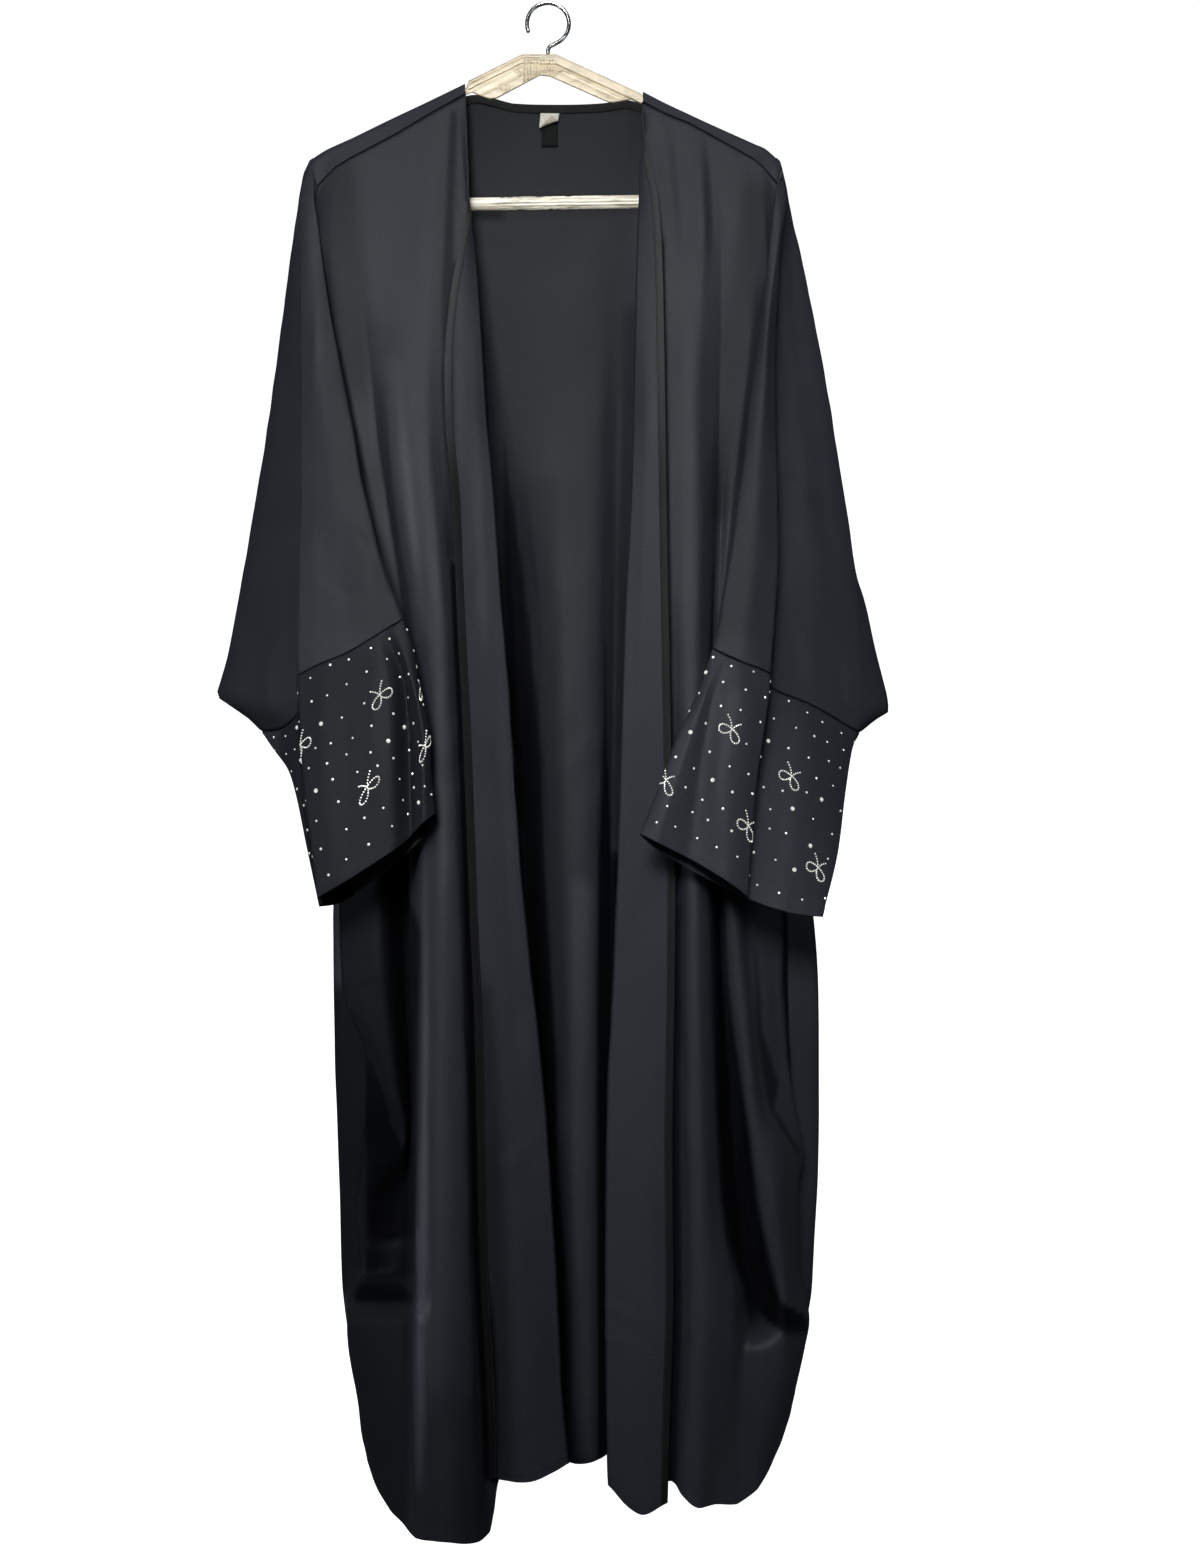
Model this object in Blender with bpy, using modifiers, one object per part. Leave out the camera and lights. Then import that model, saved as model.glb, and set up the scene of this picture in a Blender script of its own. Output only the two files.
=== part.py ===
"""An open-front abaya cloak hanging on a plain plastic hanger.

The garment is set out on a full-size front elevation, 1 mm to 1 mm at the
hanger's plane. A point of a table is (drop, across, depth) in mm:
  drop    down from the elevation's top line
  across  from the elevation's left line
  depth   behind the hanger's plane; in front of it is negative
The elevation is drawn in perspective, seen from EYE_DISTANCE in front of the
hanger's plane, level with the elevation's middle, and place() takes that out.
The origin is the inside crown of the hanger's hook, +Z up, +X to the viewer's
right and -Y towards the viewer. "left" and "right" are the viewer's.

Every cloth panel is a sheet through its fold lines: one table row for each
fold, from the shoulder to the hem, joined by a smooth section at each level.
"""

import math

import bmesh
import bpy
import numpy as np

# ---------------------------------------------------------------- sizes, mm
EYE_DISTANCE = 1400.0
EYE_ACROSS, EYE_DROP = 600.0, 776.5
CENTRE_ACROSS = 548.0  # the hanger's centre line
CROWN_DROP = 5.0  # the hook's inside crown, the origin
CLOTH = 1.2  # wall of the cloth panels
BAND = 1.0  # wall of the narrow bands and tabs
SEAM_GAP = 0.3
FRONT_BAND_WIDTH = 7.0
NECK_BAND_WIDTH = 7.0
ARM_THICKNESS = 9.0
BAR_DIAMETER = 12.0
HOOK_WIRE = 4.0
HOOK_RADIUS = 21.0  # centre line of the hook's round

# ------------------------------------------------------ shoulders and neck
# across, drop of the shoulder seam, which lies just in front of the ridge
SEAM_LEFT = ((317, 187), (325, 177.3), (335, 167.2), (350, 158), (370, 147.5), (395, 134), (430, 113), (465, 93.7))
SEAM_RIGHT = ((643, 101.5), (665, 113), (690, 123.2), (710, 134.3), (740, 150.8), (755, 159.5), (765, 168.6), (778, 184))
# across, drop of the shoulder's ridge, where the cloth lies over the hanger
RIDGE_LEFT = ((309.5, 161), (313, 157), (320, 153), (335, 145.5), (350, 138.8), (370, 129.2), (395, 117), (430, 100.5), (455, 88), (465, 83.5))
RIDGE_RIGHT = ((643, 91.5), (665, 102.8), (690, 114.5), (710, 123.8), (740, 137.3), (755, 144), (768, 149.8), (776, 155.5), (780, 161.5))
# across, drop of the neckline at the back
NECKLINE = ((465, 93.5), (472, 92.8), (480, 96), (492, 100.3), (506, 104.2), (522, 105.4), (548, 106), (575, 106), (600, 105), (614, 103.2), (631, 99.7), (643, 100.5))

# across, true drop of the back's hem, a little higher at the sides
BACK_HEM = ((372, 1436), (388, 1456), (410, 1470), (460, 1479), (577, 1483), (690, 1478), (745, 1466), (768, 1452), (786, 1432))

# --------------------------------------------------------------- fold tables
# fold: (drop, across, depth) down each fold line. The first point of a front's
# fold takes its drop from the shoulder seam.
FRONT_LEFT = {
    "seam": ((187, 317, -12), (250, 314, -9), (300, 317, -8), (420, 336, -8), (520, 354, -8), (600, 374, -6), (645, 395.5, 2),
             (700, 390, 18), (800, 383, 11), (900, 369, 9), (1000, 363, 9), (1100, 366, 12), (1150, 364, 18), (1200, 360, 24), (1265, 361, 24), (1300, 370, 12), (1396, 388, 16)),
    "rim": ((178, 325, -12), (210, 324, -16), (240, 321, -18), (300, 326, -17), (420, 345, -18), (520, 364, -18), (600, 384, -14), (650, 399, -4),
            (700, 379, 10), (800, 356, -2), (905, 340, -12), (985, 342, -18), (1055, 370, -16), (1095, 384, -14), (1135, 402, -6),
            (1200, 372, 26), (1270, 364, 22), (1300, 348, -2), (1325, 347.5, -14), (1412, 360, -12)),
    "face": ((168, 335, -12), (240, 331, -21), (300, 335, -22), (420, 355, -24), (520, 374, -22), (600, 391, -18), (660, 402, -8),
             (720, 392, 2), (800, 372, -16), (900, 360, -22), (985, 364, -28), (1055, 382, -30), (1095, 392, -26), (1135, 404, -12),
             (1200, 384, 32), (1270, 379, 28), (1300, 369, -14), (1325, 370, -34), (1479, 373.5, -38)),
    "brink": ((158, 350, -12), (300, 350, -24), (420, 364, -23), (520, 382, -22), (600, 397, -20), (660, 406, -12),
              (720, 402, -8), (800, 392, -20), (900, 381, -24), (985, 385, -30), (1040, 391, -30), (1090, 398, -26), (1132, 407, -12),
              (1200, 396, 34), (1270, 393, 28), (1300, 392, -22), (1325, 392, -46), (1509, 390, -54)),
    "pit": ((148, 370, -12), (300, 366, -23), (420, 376, -22), (520, 390, -22), (600, 402, -22), (700, 411, -12),
            (800, 409, 2), (900, 402, 20), (1000, 406, 24), (1100, 410, 24), (1200, 408, 26), (1270, 406, 14), (1300, 405, -36), (1325, 405, -54), (1525, 405, -66)),
    "lobe_left": ((137, 395, -12), (300, 388, -25), (420, 388, -34), (470, 391, -38), (550, 401, -42), (600, 410, -44), (650, 416, -46), (720, 422, -48),
                  (800, 424, -54), (900, 422, -62), (1050, 422, -67), (1200, 418, -72), (1290, 418, -76), (1325, 412, -78), (1538, 416, -80)),
    "lobe_mid": ((120, 418, -12), (300, 410, -28), (420, 408, -41), (600, 427, -54), (800, 438, -68), (900, 440, -78), (1100, 443, -88), (1300, 444, -96), (1542, 446, -100)),
    "lobe_flank": ((114, 430, -12), (300, 426, -28), (420, 427, -41), (600, 442, -54), (800, 453, -64), (900, 458, -72), (1100, 464, -80), (1300, 468, -86), (1543, 474, -90)),
    "lobe_right": ((109, 439, -12), (240, 440, -21), (300, 442, -25), (420, 442, -34), (600, 454, -43), (800, 463, -48), (900, 467, -50), (1100, 473, -52), (1300, 479, -56), (1531, 489.5, -64)),
    "under": ((105, 446, -12), (190, 450, -16), (240, 456, -19), (300, 461, -23), (420, 467, -29), (600, 480, -36), (900, 498, -43), (1100, 514, -45), (1300, 518, -49), (1466, 504, -52)),
    "fold": ((101, 452, -12), (140, 455, -13), (190, 462.5, -15), (215, 470, -17), (240, 474, -19), (300, 479, -24), (420, 487, -29), (500, 494, -33), (600, 501, -36), (690, 509, -38), (770, 514, -40), (880, 522, -42),
             (960, 530, -42), (1100, 545, -42), (1200, 552, -43), (1300, 558, -44), (1400, 563, -45), (1463, 569, -46)),
    "lapel": ((98, 458, -12), (140, 461, -13.5), (190, 467, -17), (215, 471.5, -21.5), (240, 469, -25.5), (300, 465, -30), (420, 467, -37), (600, 479, -43), (900, 496, -51), (1100, 511, -54), (1300, 520, -58), (1482, 531, -62)),
    "edge": ((96, 465, -12), (140, 466.5, -17.5), (190, 468, -22.5), (215, 466, -26), (240, 460, -28.5), (270, 455, -30), (300, 450, -33), (370, 445, -39), (420, 446, -42), (500, 453, -47), (600, 457, -51), (720, 463, -54),
             (900, 470, -58), (1050, 476, -61), (1250, 480, -64), (1400, 488, -67), (1478.5, 490, -69)),
}
FRONT_RIGHT = {
    "seam": ((184, 778, -12), (250, 776, -9), (300, 774, -8), (420, 760, -8), (520, 748, -8), (600, 737, -6), (645, 726.5, 2),
             (700, 732, 18), (800, 762, 10), (900, 786, 9), (1000, 788, 10), (1100, 791, 12), (1200, 792, 12), (1300, 790, 10), (1396, 776, 16)),
    "rim": ((168, 765, -12), (200, 764, -16), (240, 766, -18), (272, 768, -18), (300, 765, -17), (420, 751, -18), (520, 738, -18), (600, 728, -14), (650, 722, -4),
            (700, 733, 8), (800, 764, -6), (900, 783, -14), (980, 780, -18), (1060, 787, -16), (1095, 792, -14), (1155, 803, -8), (1190, 798, -12), (1260, 798, -14),
            (1320, 809, -22), (1345, 805, -28), (1398, 793, -32)),
    "tuck": ((160, 755, -12), (300, 753, -22), (420, 742, -24), (520, 730, -22), (600, 724, -18), (700, 724, 0), (800, 738, -14), (890, 742, -26), (920, 750, -26),
             (1000, 757, -25), (1080, 765, -30), (1110, 771, -32), (1155, 796, -22), (1200, 790, -34), (1300, 795, -42), (1345, 796, -48), (1430, 785, -44)),
    "second_mid": ((150, 740, -12), (300, 741, -22), (420, 734, -23), (520, 725, -20), (600, 721, -18), (700, 718, -8), (800, 726, -32), (900, 734, -48),
                   (1000, 743, -54), (1100, 753, -58), (1200, 773, -58), (1300, 784, -56), (1345, 784, -62), (1464, 771, -56)),
    "second_left": ((141.5, 725, -12), (300, 730, -21), (420, 727, -22), (520, 721, -18), (600, 718, -18), (700, 714, -12), (800, 718, -26), (900, 724, -44),
                    (1000, 730, -50), (1080, 740, -54), (1150, 747, -56), (1200, 757, -54), (1250, 763, -50), (1290, 770, -42), (1325, 768, -50), (1350, 764, -64), (1489, 757, -70)),
    "valley": ((137, 717, -12), (300, 721, -21), (420, 719, -22), (520, 717, -20), (600, 714, -20), (700, 711, -14), (800, 714, -4), (900, 718, 4), (1000, 722, 10),
               (1080, 727, 16), (1150, 731, 20), (1200, 737, 22), (1250, 743, 20), (1290, 752, 4), (1320, 752, -30), (1350, 744, -62), (1504, 737, -78)),
    "first_right": ((133, 710, -12), (300, 712, -24), (420, 712, -27), (520, 711, -30), (600, 710, -34), (700, 708, -40), (800, 710, -44), (900, 712, -52),
                    (1000, 715, -58), (1100, 716, -62), (1200, 720, -66), (1250, 726, -68), (1300, 734, -70), (1350, 730, -78), (1504, 714, -86)),
    "first_mid": ((122, 690, -12), (240, 703, -25), (300, 700, -28), (420, 698, -36), (600, 698, -46), (800, 697, -62), (900, 697, -74), (1100, 700, -84), (1300, 705, -90), (1508, 698, -94)),
    "first_flank": ((117, 679, -12), (300, 685, -27), (420, 685, -36), (600, 685, -46), (800, 688, -60), (900, 687, -69), (1100, 689, -78), (1300, 693, -84), (1497, 684, -86)),
    "first_left": ((112, 668, -12), (240, 668, -22), (300, 671, -25), (420, 671, -33), (600, 672, -41), (800, 677, -47), (900, 679, -50), (1100, 677, -53), (1300, 678, -57), (1481, 672, -63)),
    "under": ((108, 660, -12), (140, 659, -13), (190, 657, -17), (240, 656, -19), (300, 655, -23), (420, 652, -29), (600, 649, -36), (900, 645, -43), (1100, 640, -45), (1300, 640, -49), (1484, 640, -53)),
    "fold": ((105, 653, -12), (130, 647, -13), (160, 640, -15), (200, 639, -17), (260, 637, -21), (300, 636, -24), (420, 633.5, -29), (480, 632, -32), (560, 628, -35), (620, 625, -37), (880, 617, -41), (1000, 612, -41),
             (1100, 607, -42), (1300, 605, -44), (1400, 606, -45), (1485, 608, -47)),
    "lapel": ((102, 648, -12), (130, 643.8, -15), (160, 642.6, -18.4), (200, 647, -23), (240, 650, -26), (300, 650, -30), (420, 649, -37), (600, 646, -43), (900, 646, -51), (1100, 640, -54), (1300, 641, -59), (1515, 641, -64)),
    "edge": ((100.5, 642.5, -12), (115, 642.5, -15.5), (130, 644.5, -19), (160, 650, -23), (200, 658, -27), (240, 661, -30), (300, 663, -33), (420, 665, -42), (600, 668, -50), (800, 672, -56), (900, 675, -58),
             (1000, 674, -60), (1150, 672, -62), (1300, 673, -65), (1400, 670, -67), (1503, 667, -69)),
}
BACK = {
    "seam_left": ((187, 317, 10), (250, 315, 12), (300, 318, 16), (420, 337, 26), (520, 354, 28), (600, 374, 26), (645, 396, 5),
                  (700, 390.5, 21), (800, 383.5, 14), (900, 369.5, 12), (1000, 363.5, 12), (1100, 366.5, 15), (1150, 364.5, 21.5), (1200, 360.5, 28.5), (1265, 361, 28), (1300, 370.5, 15), (1396, 388.5, 19)),
    "side_left": ((187, 325, 12), (300, 326, 18), (420, 345, 29), (600, 381, 34), (645, 398, 26), (700, 384, 38), (800, 350, 32), (920, 333, 28), (1000, 334, 28),
                  (1120, 337, 32), (1200, 340, 36), (1280, 342.5, 36), (1330, 348, 30), (1425, 372, 24)),
    "back_a": ((187, 335, 12), (300, 337, 20), (420, 355, 32), (600, 391, 40), (700, 396, 46), (800, 368, 54), (920, 352, 54), (1120, 355, 60), (1300, 364, 58), (1440, 386, 54)),
    "back_b": ((187, 350, 12), (300, 352, 20), (420, 370, 31), (600, 402, 40), (700, 408, 44), (920, 388, 48), (1120, 392, 50), (1300, 396, 48), (1450, 402, 50)),
    "back_c": ((187, 370, 12), (300, 372, 21), (420, 388, 36), (600, 416, 50), (920, 420, 60), (1120, 424, 68), (1300, 425, 72), (1458, 427, 74)),
    "back_d": ((187, 395, 12), (300, 398, 20), (420, 412, 31), (600, 436, 38), (920, 449, 42), (1120, 456, 46), (1300, 458, 46), (1460, 459, 48)),
    "back_e": ((187, 430, 12), (300, 432, 20), (420, 445, 33), (600, 466, 48), (920, 482, 60), (1120, 488, 66), (1300, 490, 70), (1462, 492, 74)),
    "back_f": ((187, 466, 12), (300, 468, 19), (420, 480, 30), (600, 494, 40), (920, 510, 48), (1120, 516, 52), (1300, 520, 56), (1462, 522, 58)),
    "dark_left": ((190, 484, 12), (300, 492, 20), (420, 502, 33), (600, 515, 48), (920, 534, 58), (1120, 541, 62), (1300, 546, 66), (1460, 550, 66)),
    "ridge_a": ((190, 512, 12), (300, 518, 18), (420, 526, 27), (600, 540, 34), (920, 551, 38), (1120, 556, 42), (1300, 560, 44), (1459, 563, 46)),
    "ridge_b": ((190, 548, 12), (300, 550, 17), (420, 552, 25), (600, 558, 29), (920, 566, 31), (1120, 571, 34), (1300, 574, 36), (1462, 577, 38)),
    "ridge_c": ((190, 584, 12), (300, 582, 17), (420, 580, 25), (600, 580, 29), (920, 584, 31), (1120, 586, 34), (1300, 588, 36), (1463, 591, 40)),
    "ridge_d": ((190, 608, 12), (300, 604, 18), (420, 601, 27), (600, 599, 34), (920, 599, 38), (1120, 600, 42), (1300, 600, 44), (1463, 601, 48)),
    "dark_right": ((190, 626, 12), (300, 624, 20), (420, 619, 33), (600, 615, 48), (920, 611, 57), (1120, 610, 60), (1300, 610, 62), (1463, 612, 64)),
    "back_g": ((187, 643, 12), (300, 643, 19), (420, 638, 30), (600, 632, 41), (920, 628, 48), (1120, 628, 52), (1300, 630, 56), (1462, 632, 58)),
    "back_h": ((187, 665, 12), (300, 664, 20), (420, 656, 33), (600, 650, 48), (920, 652, 60), (1120, 655, 66), (1300, 658, 68), (1460, 660, 72)),
    "back_i": ((187, 690, 12), (300, 688, 20), (420, 678, 31), (600, 672, 38), (920, 680, 43), (1120, 688, 46), (1300, 690, 46), (1458, 690, 50)),
    "back_j": ((187, 712, 12), (300, 708, 21), (420, 697, 35), (600, 690, 48), (920, 707, 58), (1120, 716, 62), (1300, 718, 64), (1452, 716, 66)),
    "back_k": ((187, 738, 12), (300, 734, 20), (420, 720, 31), (600, 706, 40), (700, 708, 44), (920, 738, 48), (1120, 750, 50), (1300, 752, 50), (1444, 744, 54)),
    "back_l": ((187, 753, 12), (300, 750, 20), (420, 736, 32), (600, 719, 40), (700, 724, 46), (800, 758, 52), (920, 775, 54), (1120, 784, 58), (1300, 782, 56), (1434, 766, 56)),
    "side_right": ((187, 763, 12), (300, 762, 18), (420, 749, 29), (600, 729, 34), (645, 725, 26), (700, 738, 38), (800, 788, 32), (920, 813, 28), (1000, 818, 28), (1085, 819, 30),
                   (1170, 818, 30), (1240, 814, 30), (1290, 811, 30), (1330, 804, 28), (1422, 784, 24)),
    "seam_right": ((184, 778, 10), (250, 775, 12), (300, 773, 16), (420, 759, 26), (520, 747, 28), (600, 736, 26), (645, 726, 5),
                   (700, 731.5, 21), (800, 761.5, 13), (900, 785.5, 12), (1000, 787.5, 13), (1100, 790.5, 15), (1200, 791.5, 15), (1300, 789.5, 13), (1396, 775.5, 19)),
}
# The turn of each sleeve fold over the shoulder's tip, 0 at the front and 1 at
# the back, then its points. Each last point lies on the cuff's seam.
SLEEVE_LEFT = {
    "arm_front": (0.0, (250, 312.5, -10.5), (300, 315, -10.5), (420, 334, -11), (520, 352, -11), (600, 372, -10), (645, 392, -2.6)),
    "fold": (0.12, (190, 313, -14), (220, 317, -19), (250, 321, -24), (300, 328, -32), (350, 337, -40), (400, 347, -48), (440, 355, -54), (478, 361, -59), (505, 368, -62), (530, 374, -65),
             (555, 380, -68), (585, 391, -71), (619, 403, -74)),
    "front": (0.26, (220, 308, -20), (300, 314, -34), (400, 324, -50), (500, 334, -60), (600, 350, -69), (651, 350, -73)),
    "ridge": (0.38, (200, 301, -13), (250, 300.5, -21), (300, 301, -28), (400, 301, -38), (480, 301, -44), (560, 299, -50), (640, 297, -56), (675, 298, -60)),
    "behind": (0.45, (200, 301.5, -7), (300, 302, -15), (400, 303, -22), (560, 302, -30), (640, 301, -34), (706, 301, -32)),
    "outer": (0.52, (200, 299, -2), (300, 291.5, -4), (400, 287, -6), (560, 274, -8), (640, 264, -8), (700, 262, -8), (727, 284, -6)),
    "side": (0.58, (175, 303.5, 2), (205, 299, 3), (250, 291.6, 4), (300, 285.3, 6), (350, 278.6, 8), (400, 271.6, 10), (450, 264.3, 12), (480, 259.2, 14), (520, 252.6, 16), (560, 245.6, 18), (600, 238.6, 20),
             (655, 228, 22), (682, 220.8, 24), (694, 217.8, 26), (707, 232.5, 26), (717, 246.5, 26), (731, 261.5, 22)),
    "rear_out": (0.7, (220, 304, 14), (300, 298, 26), (400, 287, 38), (500, 278, 46), (600, 264, 52), (680, 250, 54), (705, 262, 50), (725, 290, 36)),
    "rear_in": (0.85, (220, 310, 16), (300, 308, 24), (400, 312, 38), (500, 320, 46), (600, 330, 50), (660, 340, 44), (692, 346, 26)),
    "arm_back": (1.0, (250, 313.5, 12.5), (300, 316.2, 16.5), (420, 335.2, 26.5), (520, 352.2, 28.5), (600, 371.8, 27), (645, 391.8, 5)),
}
SLEEVE_RIGHT = {
    "arm_front": (0.0, (250, 777.5, -10.5), (300, 776, -10.5), (420, 762, -11), (520, 750, -11), (600, 739, -10), (645, 730, -2.6)),
    "fold": (0.12, (190, 777, -15), (240, 770.5, -23), (272, 768, -27), (300, 764, -31), (340, 759, -37), (380, 753, -43), (420, 748, -48), (460, 744, -53), (500, 738, -58), (550, 731, -64),
             (600, 722, -70), (635, 716, -74), (648, 713, -76)),
    "front": (0.26, (220, 780, -21), (300, 770, -35), (400, 763, -51), (500, 758, -61), (600, 749, -72), (662, 743, -80)),
    "ridge": (0.38, (200, 785, -14), (250, 780, -22), (300, 777, -28), (350, 774.5, -33), (420, 775, -40), (480, 777, -46), (540, 778, -52), (600, 776, -58), (640, 773, -64), (673, 770, -70)),
    "behind": (0.45, (200, 786, -8), (300, 777, -16), (420, 774, -22), (540, 776, -28), (640, 771, -42), (686, 770, -50)),
    "outer": (0.52, (200, 788, -2), (300, 791, -3), (420, 803, -5), (540, 814, -8), (640, 818, -12), (705, 812, -24)),
    "side": (0.58, (190, 786, 2), (225, 793.5, 4), (260, 801.6, 6), (300, 810, 8), (345, 819, 10), (390, 827, 12), (420, 832, 13), (470, 839.5, 14), (520, 847.5, 15), (560, 853, 15), (600, 856, 14),
             (640, 857, 12), (690, 861, 10), (731, 857, 8)),
    "flap": (0.66, (225, 789, 10), (300, 805, 16), (390, 822, 22), (470, 838, 26), (520, 846, 28), (560, 851.5, 30), (600, 864, 33), (640, 873, 36), (680, 882.5, 39), (700, 887.5, 40), (711, 888.5, 40),
             (718, 878, 36), (732, 860, 24)),
    "rear_out": (0.76, (220, 786, 15), (300, 796, 27), (400, 807, 39), (500, 816, 48), (600, 828, 54), (690, 845, 56), (712, 842, 50), (726, 826, 38)),
    "rear_in": (0.88, (220, 780, 16), (300, 783, 25), (400, 781, 38), (500, 776, 46), (600, 772, 50), (660, 768, 46), (698, 770, 26)),
    "arm_back": (1.0, (250, 776.5, 12.5), (300, 774.8, 16.5), (420, 760.8, 26.5), (520, 748.8, 28.5), (600, 738.2, 27), (645, 730.2, 5)),
}
# The cuffs are tubes; each first point lies just under the sleeve's last.
CUFF_LEFT = {
    "under": ((645, 392, -2), (680, 402, -26), (740, 413, -52), (800, 423, -70), (832, 428, -76)),
    "inner": ((619, 403, -74), (650, 413, -78), (680, 418, -82), (740, 430, -86), (770, 431, -88), (814, 435, -90)),
    "lobe": ((625, 393, -76), (680, 412, -90), (740, 423, -96), (822, 424, -100)),
    "pit": ((630, 384, -75), (680, 404, -72), (740, 409, -74), (836, 411, -84)),
    "front": ((636, 373, -75), (680, 388, -86), (740, 392, -93), (850, 394, -102)),
    "middle": ((651, 350, -73), (740, 348, -88), (879, 350, -105)),
    "ridge": ((675, 298, -60), (750, 301, -72), (800, 306, -84), (898, 318, -98)),
    "behind": ((706, 301, -32), (750, 304, -46), (800, 308, -68), (900, 321, -90)),
    "outer": ((727, 284, -6), (760, 292, -28), (800, 302, -52), (903, 323, -84)),
    "side": ((731, 261.5, 22), (748, 273, 6), (770, 288.5, -14), (790, 295, -32), (850, 307.5, -58), (906.5, 319.5, -77)),
    "rear_out": ((725, 290, 36), (750, 304, 14), (800, 322, -20), (902, 342, -70)),
    "rear_in": ((692, 346, 26), (740, 358, -10), (800, 368, -42), (880, 374, -72)),
}
CUFF_RIGHT = {
    "under": ((645, 730, -2), (690, 718, -46), (740, 702, -72), (790, 684, -90), (846, 652, -102)),
    "inner": ((648, 713, -76), (680, 703, -86), (710, 690, -94), (740, 676, -100), (785, 660, -106), (834, 640, -110)),
    "lobe": ((652, 721, -79), (700, 703, -98), (785, 674, -112), (842, 656, -117)),
    "trough": ((656, 729, -80), (700, 713, -94), (785, 699, -104), (860, 692, -110)),
    "front": ((662, 743, -80), (700, 739, -98), (785, 727, -111), (880, 725, -118)),
    "ridge": ((673, 770, -70), (700, 768, -82), (780, 757, -98), (896, 747, -110)),
    "behind": ((686, 770, -50), (730, 763, -60), (800, 753, -82), (898, 746, -100)),
    "outer": ((705, 812, -24), (740, 813, -38), (800, 806, -64), (913, 790, -94)),
    "side": ((731, 857, 8), (742, 853, 2), (790, 845.5, -24), (850, 838, -54), (917, 822, -84)),
    "flap": ((732, 860, 24), (750, 850, 12), (800, 840, -16), (915, 815, -74)),
    "rear_out": ((726, 826, 38), (760, 820, 4), (820, 805, -40), (908, 785, -80)),
    "rear_in": ((698, 770, 26), (740, 762, -12), (800, 744, -58), (886, 722, -90)),
}
# Levels, as drops, at which each kind of sheet has a section.
FRONT_LEVELS = (187, 189.5, 191.5, 194, 200, 206, 211, 215, 240, 270, 300, 350, 420, 460, 500, 560, 600, 650, 700, 750, 800, 850, 900, 950, 1000, 1060, 1100, 1140, 1200, 1260, 1300, 1330, 1390, 1440, 1500)
BACK_LEVELS = (187, 240, 300, 350, 420, 500, 560, 600, 645, 700, 750, 800, 860, 920, 1000, 1085, 1170, 1250, 1310, 1360, 1430, 1500)
SLEEVE_LEVELS = (190, 225, 260, 300, 350, 400, 450, 500, 535, 565, 590, 608, 620, 630, 640)
CUFF_LEVELS = (0.0, 0.2, 0.4, 0.6, 0.8, 1.0)


# ----------------------------------------------------------------- geometry
def place(drop, across, depth):
    """A point of the elevation, in metres in the part's own frame."""
    spread = 1 + depth / EYE_DISTANCE
    x = EYE_ACROSS + (across - EYE_ACROSS) * spread - CENTRE_ACROSS
    z = CROWN_DROP - (EYE_DROP + (drop - EYE_DROP) * spread)
    return (x / 1000, depth / 1000, z / 1000)


def seen_at(height, depth):
    """The drop on the elevation of a point at this depth, from its true drop."""
    return EYE_DROP + (height - EYE_DROP) / (1 + depth / EYE_DISTANCE)


def along(points, at):
    """The smooth curve (monotone cubic) through points whose first number rises, read at one value."""
    points = np.asarray(points, float)
    t, values = points[:, 0], points[:, 1:]
    step = np.diff(t)[:, None]
    slope = np.diff(values, axis=0) / step
    tangent = np.vstack([slope[:1], np.zeros_like(slope[1:]), slope[-1:]])
    product = slope[:-1] * slope[1:]
    total = slope[:-1] + slope[1:]
    tangent[1:-1] = np.where(product > 0, 2 * product / np.where(total == 0, 1, total), 0)
    at = min(max(at, t[0]), t[-1])
    i = min(np.searchsorted(t, at, side="right") - 1, len(t) - 2)
    h = t[i + 1] - t[i]
    s = (at - t[i]) / h
    return (
        values[i] * (1 + 2 * s) * (1 - s) ** 2
        + tangent[i] * h * s * (1 - s) ** 2
        + values[i + 1] * s * s * (3 - 2 * s)
        + tangent[i + 1] * h * s * s * (s - 1)
    )


def straight(points, at):
    points = np.asarray(points, float)
    return float(np.interp(at, points[:, 0], points[:, 1]))


def fold_point(points, level, band, ends):
    """The fold's point at a level. Levels are drops inside the band, and reach the fold's own ends outside it."""
    top, bottom = points[0][0], points[-1][0]
    upper, lower = band
    if level < upper:
        drop = top + (upper - top) * (level - ends[0]) / (upper - ends[0])
    elif level > lower:
        drop = lower + (bottom - lower) * (level - lower) / (ends[1] - lower)
    else:
        drop = level
    across, depth = along(points, drop)
    return (drop, across, depth)


def section(points, counts, closed=False):
    """A smooth line (centripetal Catmull-Rom) through a section's fold points, with the given pieces between them."""
    points = np.asarray(points, float)
    n = len(points)
    out = []
    for i, count in enumerate(counts):
        if closed:
            p = [points[(i + k) % n] for k in (-1, 0, 1, 2)]
        else:
            p = [points[min(max(i + k, 0), n - 1)] for k in (-1, 0, 1, 2)]
            if i == 0:
                p[0] = 2 * p[1] - p[2]
            if i + 2 > n - 1:
                p[3] = 2 * p[2] - p[1]
        t = [0.0]
        for a, b in zip(p[:-1], p[1:]):
            t.append(t[-1] + max(np.linalg.norm(b - a), 0.5) ** 0.5)
        for k in range(count):
            u = t[1] + (t[2] - t[1]) * k / count
            a1 = (t[1] - u) / (t[1] - t[0]) * p[0] + (u - t[0]) / (t[1] - t[0]) * p[1]
            a2 = (t[2] - u) / (t[2] - t[1]) * p[1] + (u - t[1]) / (t[2] - t[1]) * p[2]
            a3 = (t[3] - u) / (t[3] - t[2]) * p[2] + (u - t[2]) / (t[3] - t[2]) * p[3]
            b1 = (t[2] - u) / (t[2] - t[0]) * a1 + (u - t[0]) / (t[2] - t[0]) * a2
            b2 = (t[3] - u) / (t[3] - t[1]) * a2 + (u - t[1]) / (t[3] - t[1]) * a3
            out.append((t[2] - u) / (t[2] - t[1]) * b1 + (u - t[1]) / (t[2] - t[1]) * b2)
    if not closed:
        out.append(points[-1])
    return out


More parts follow.
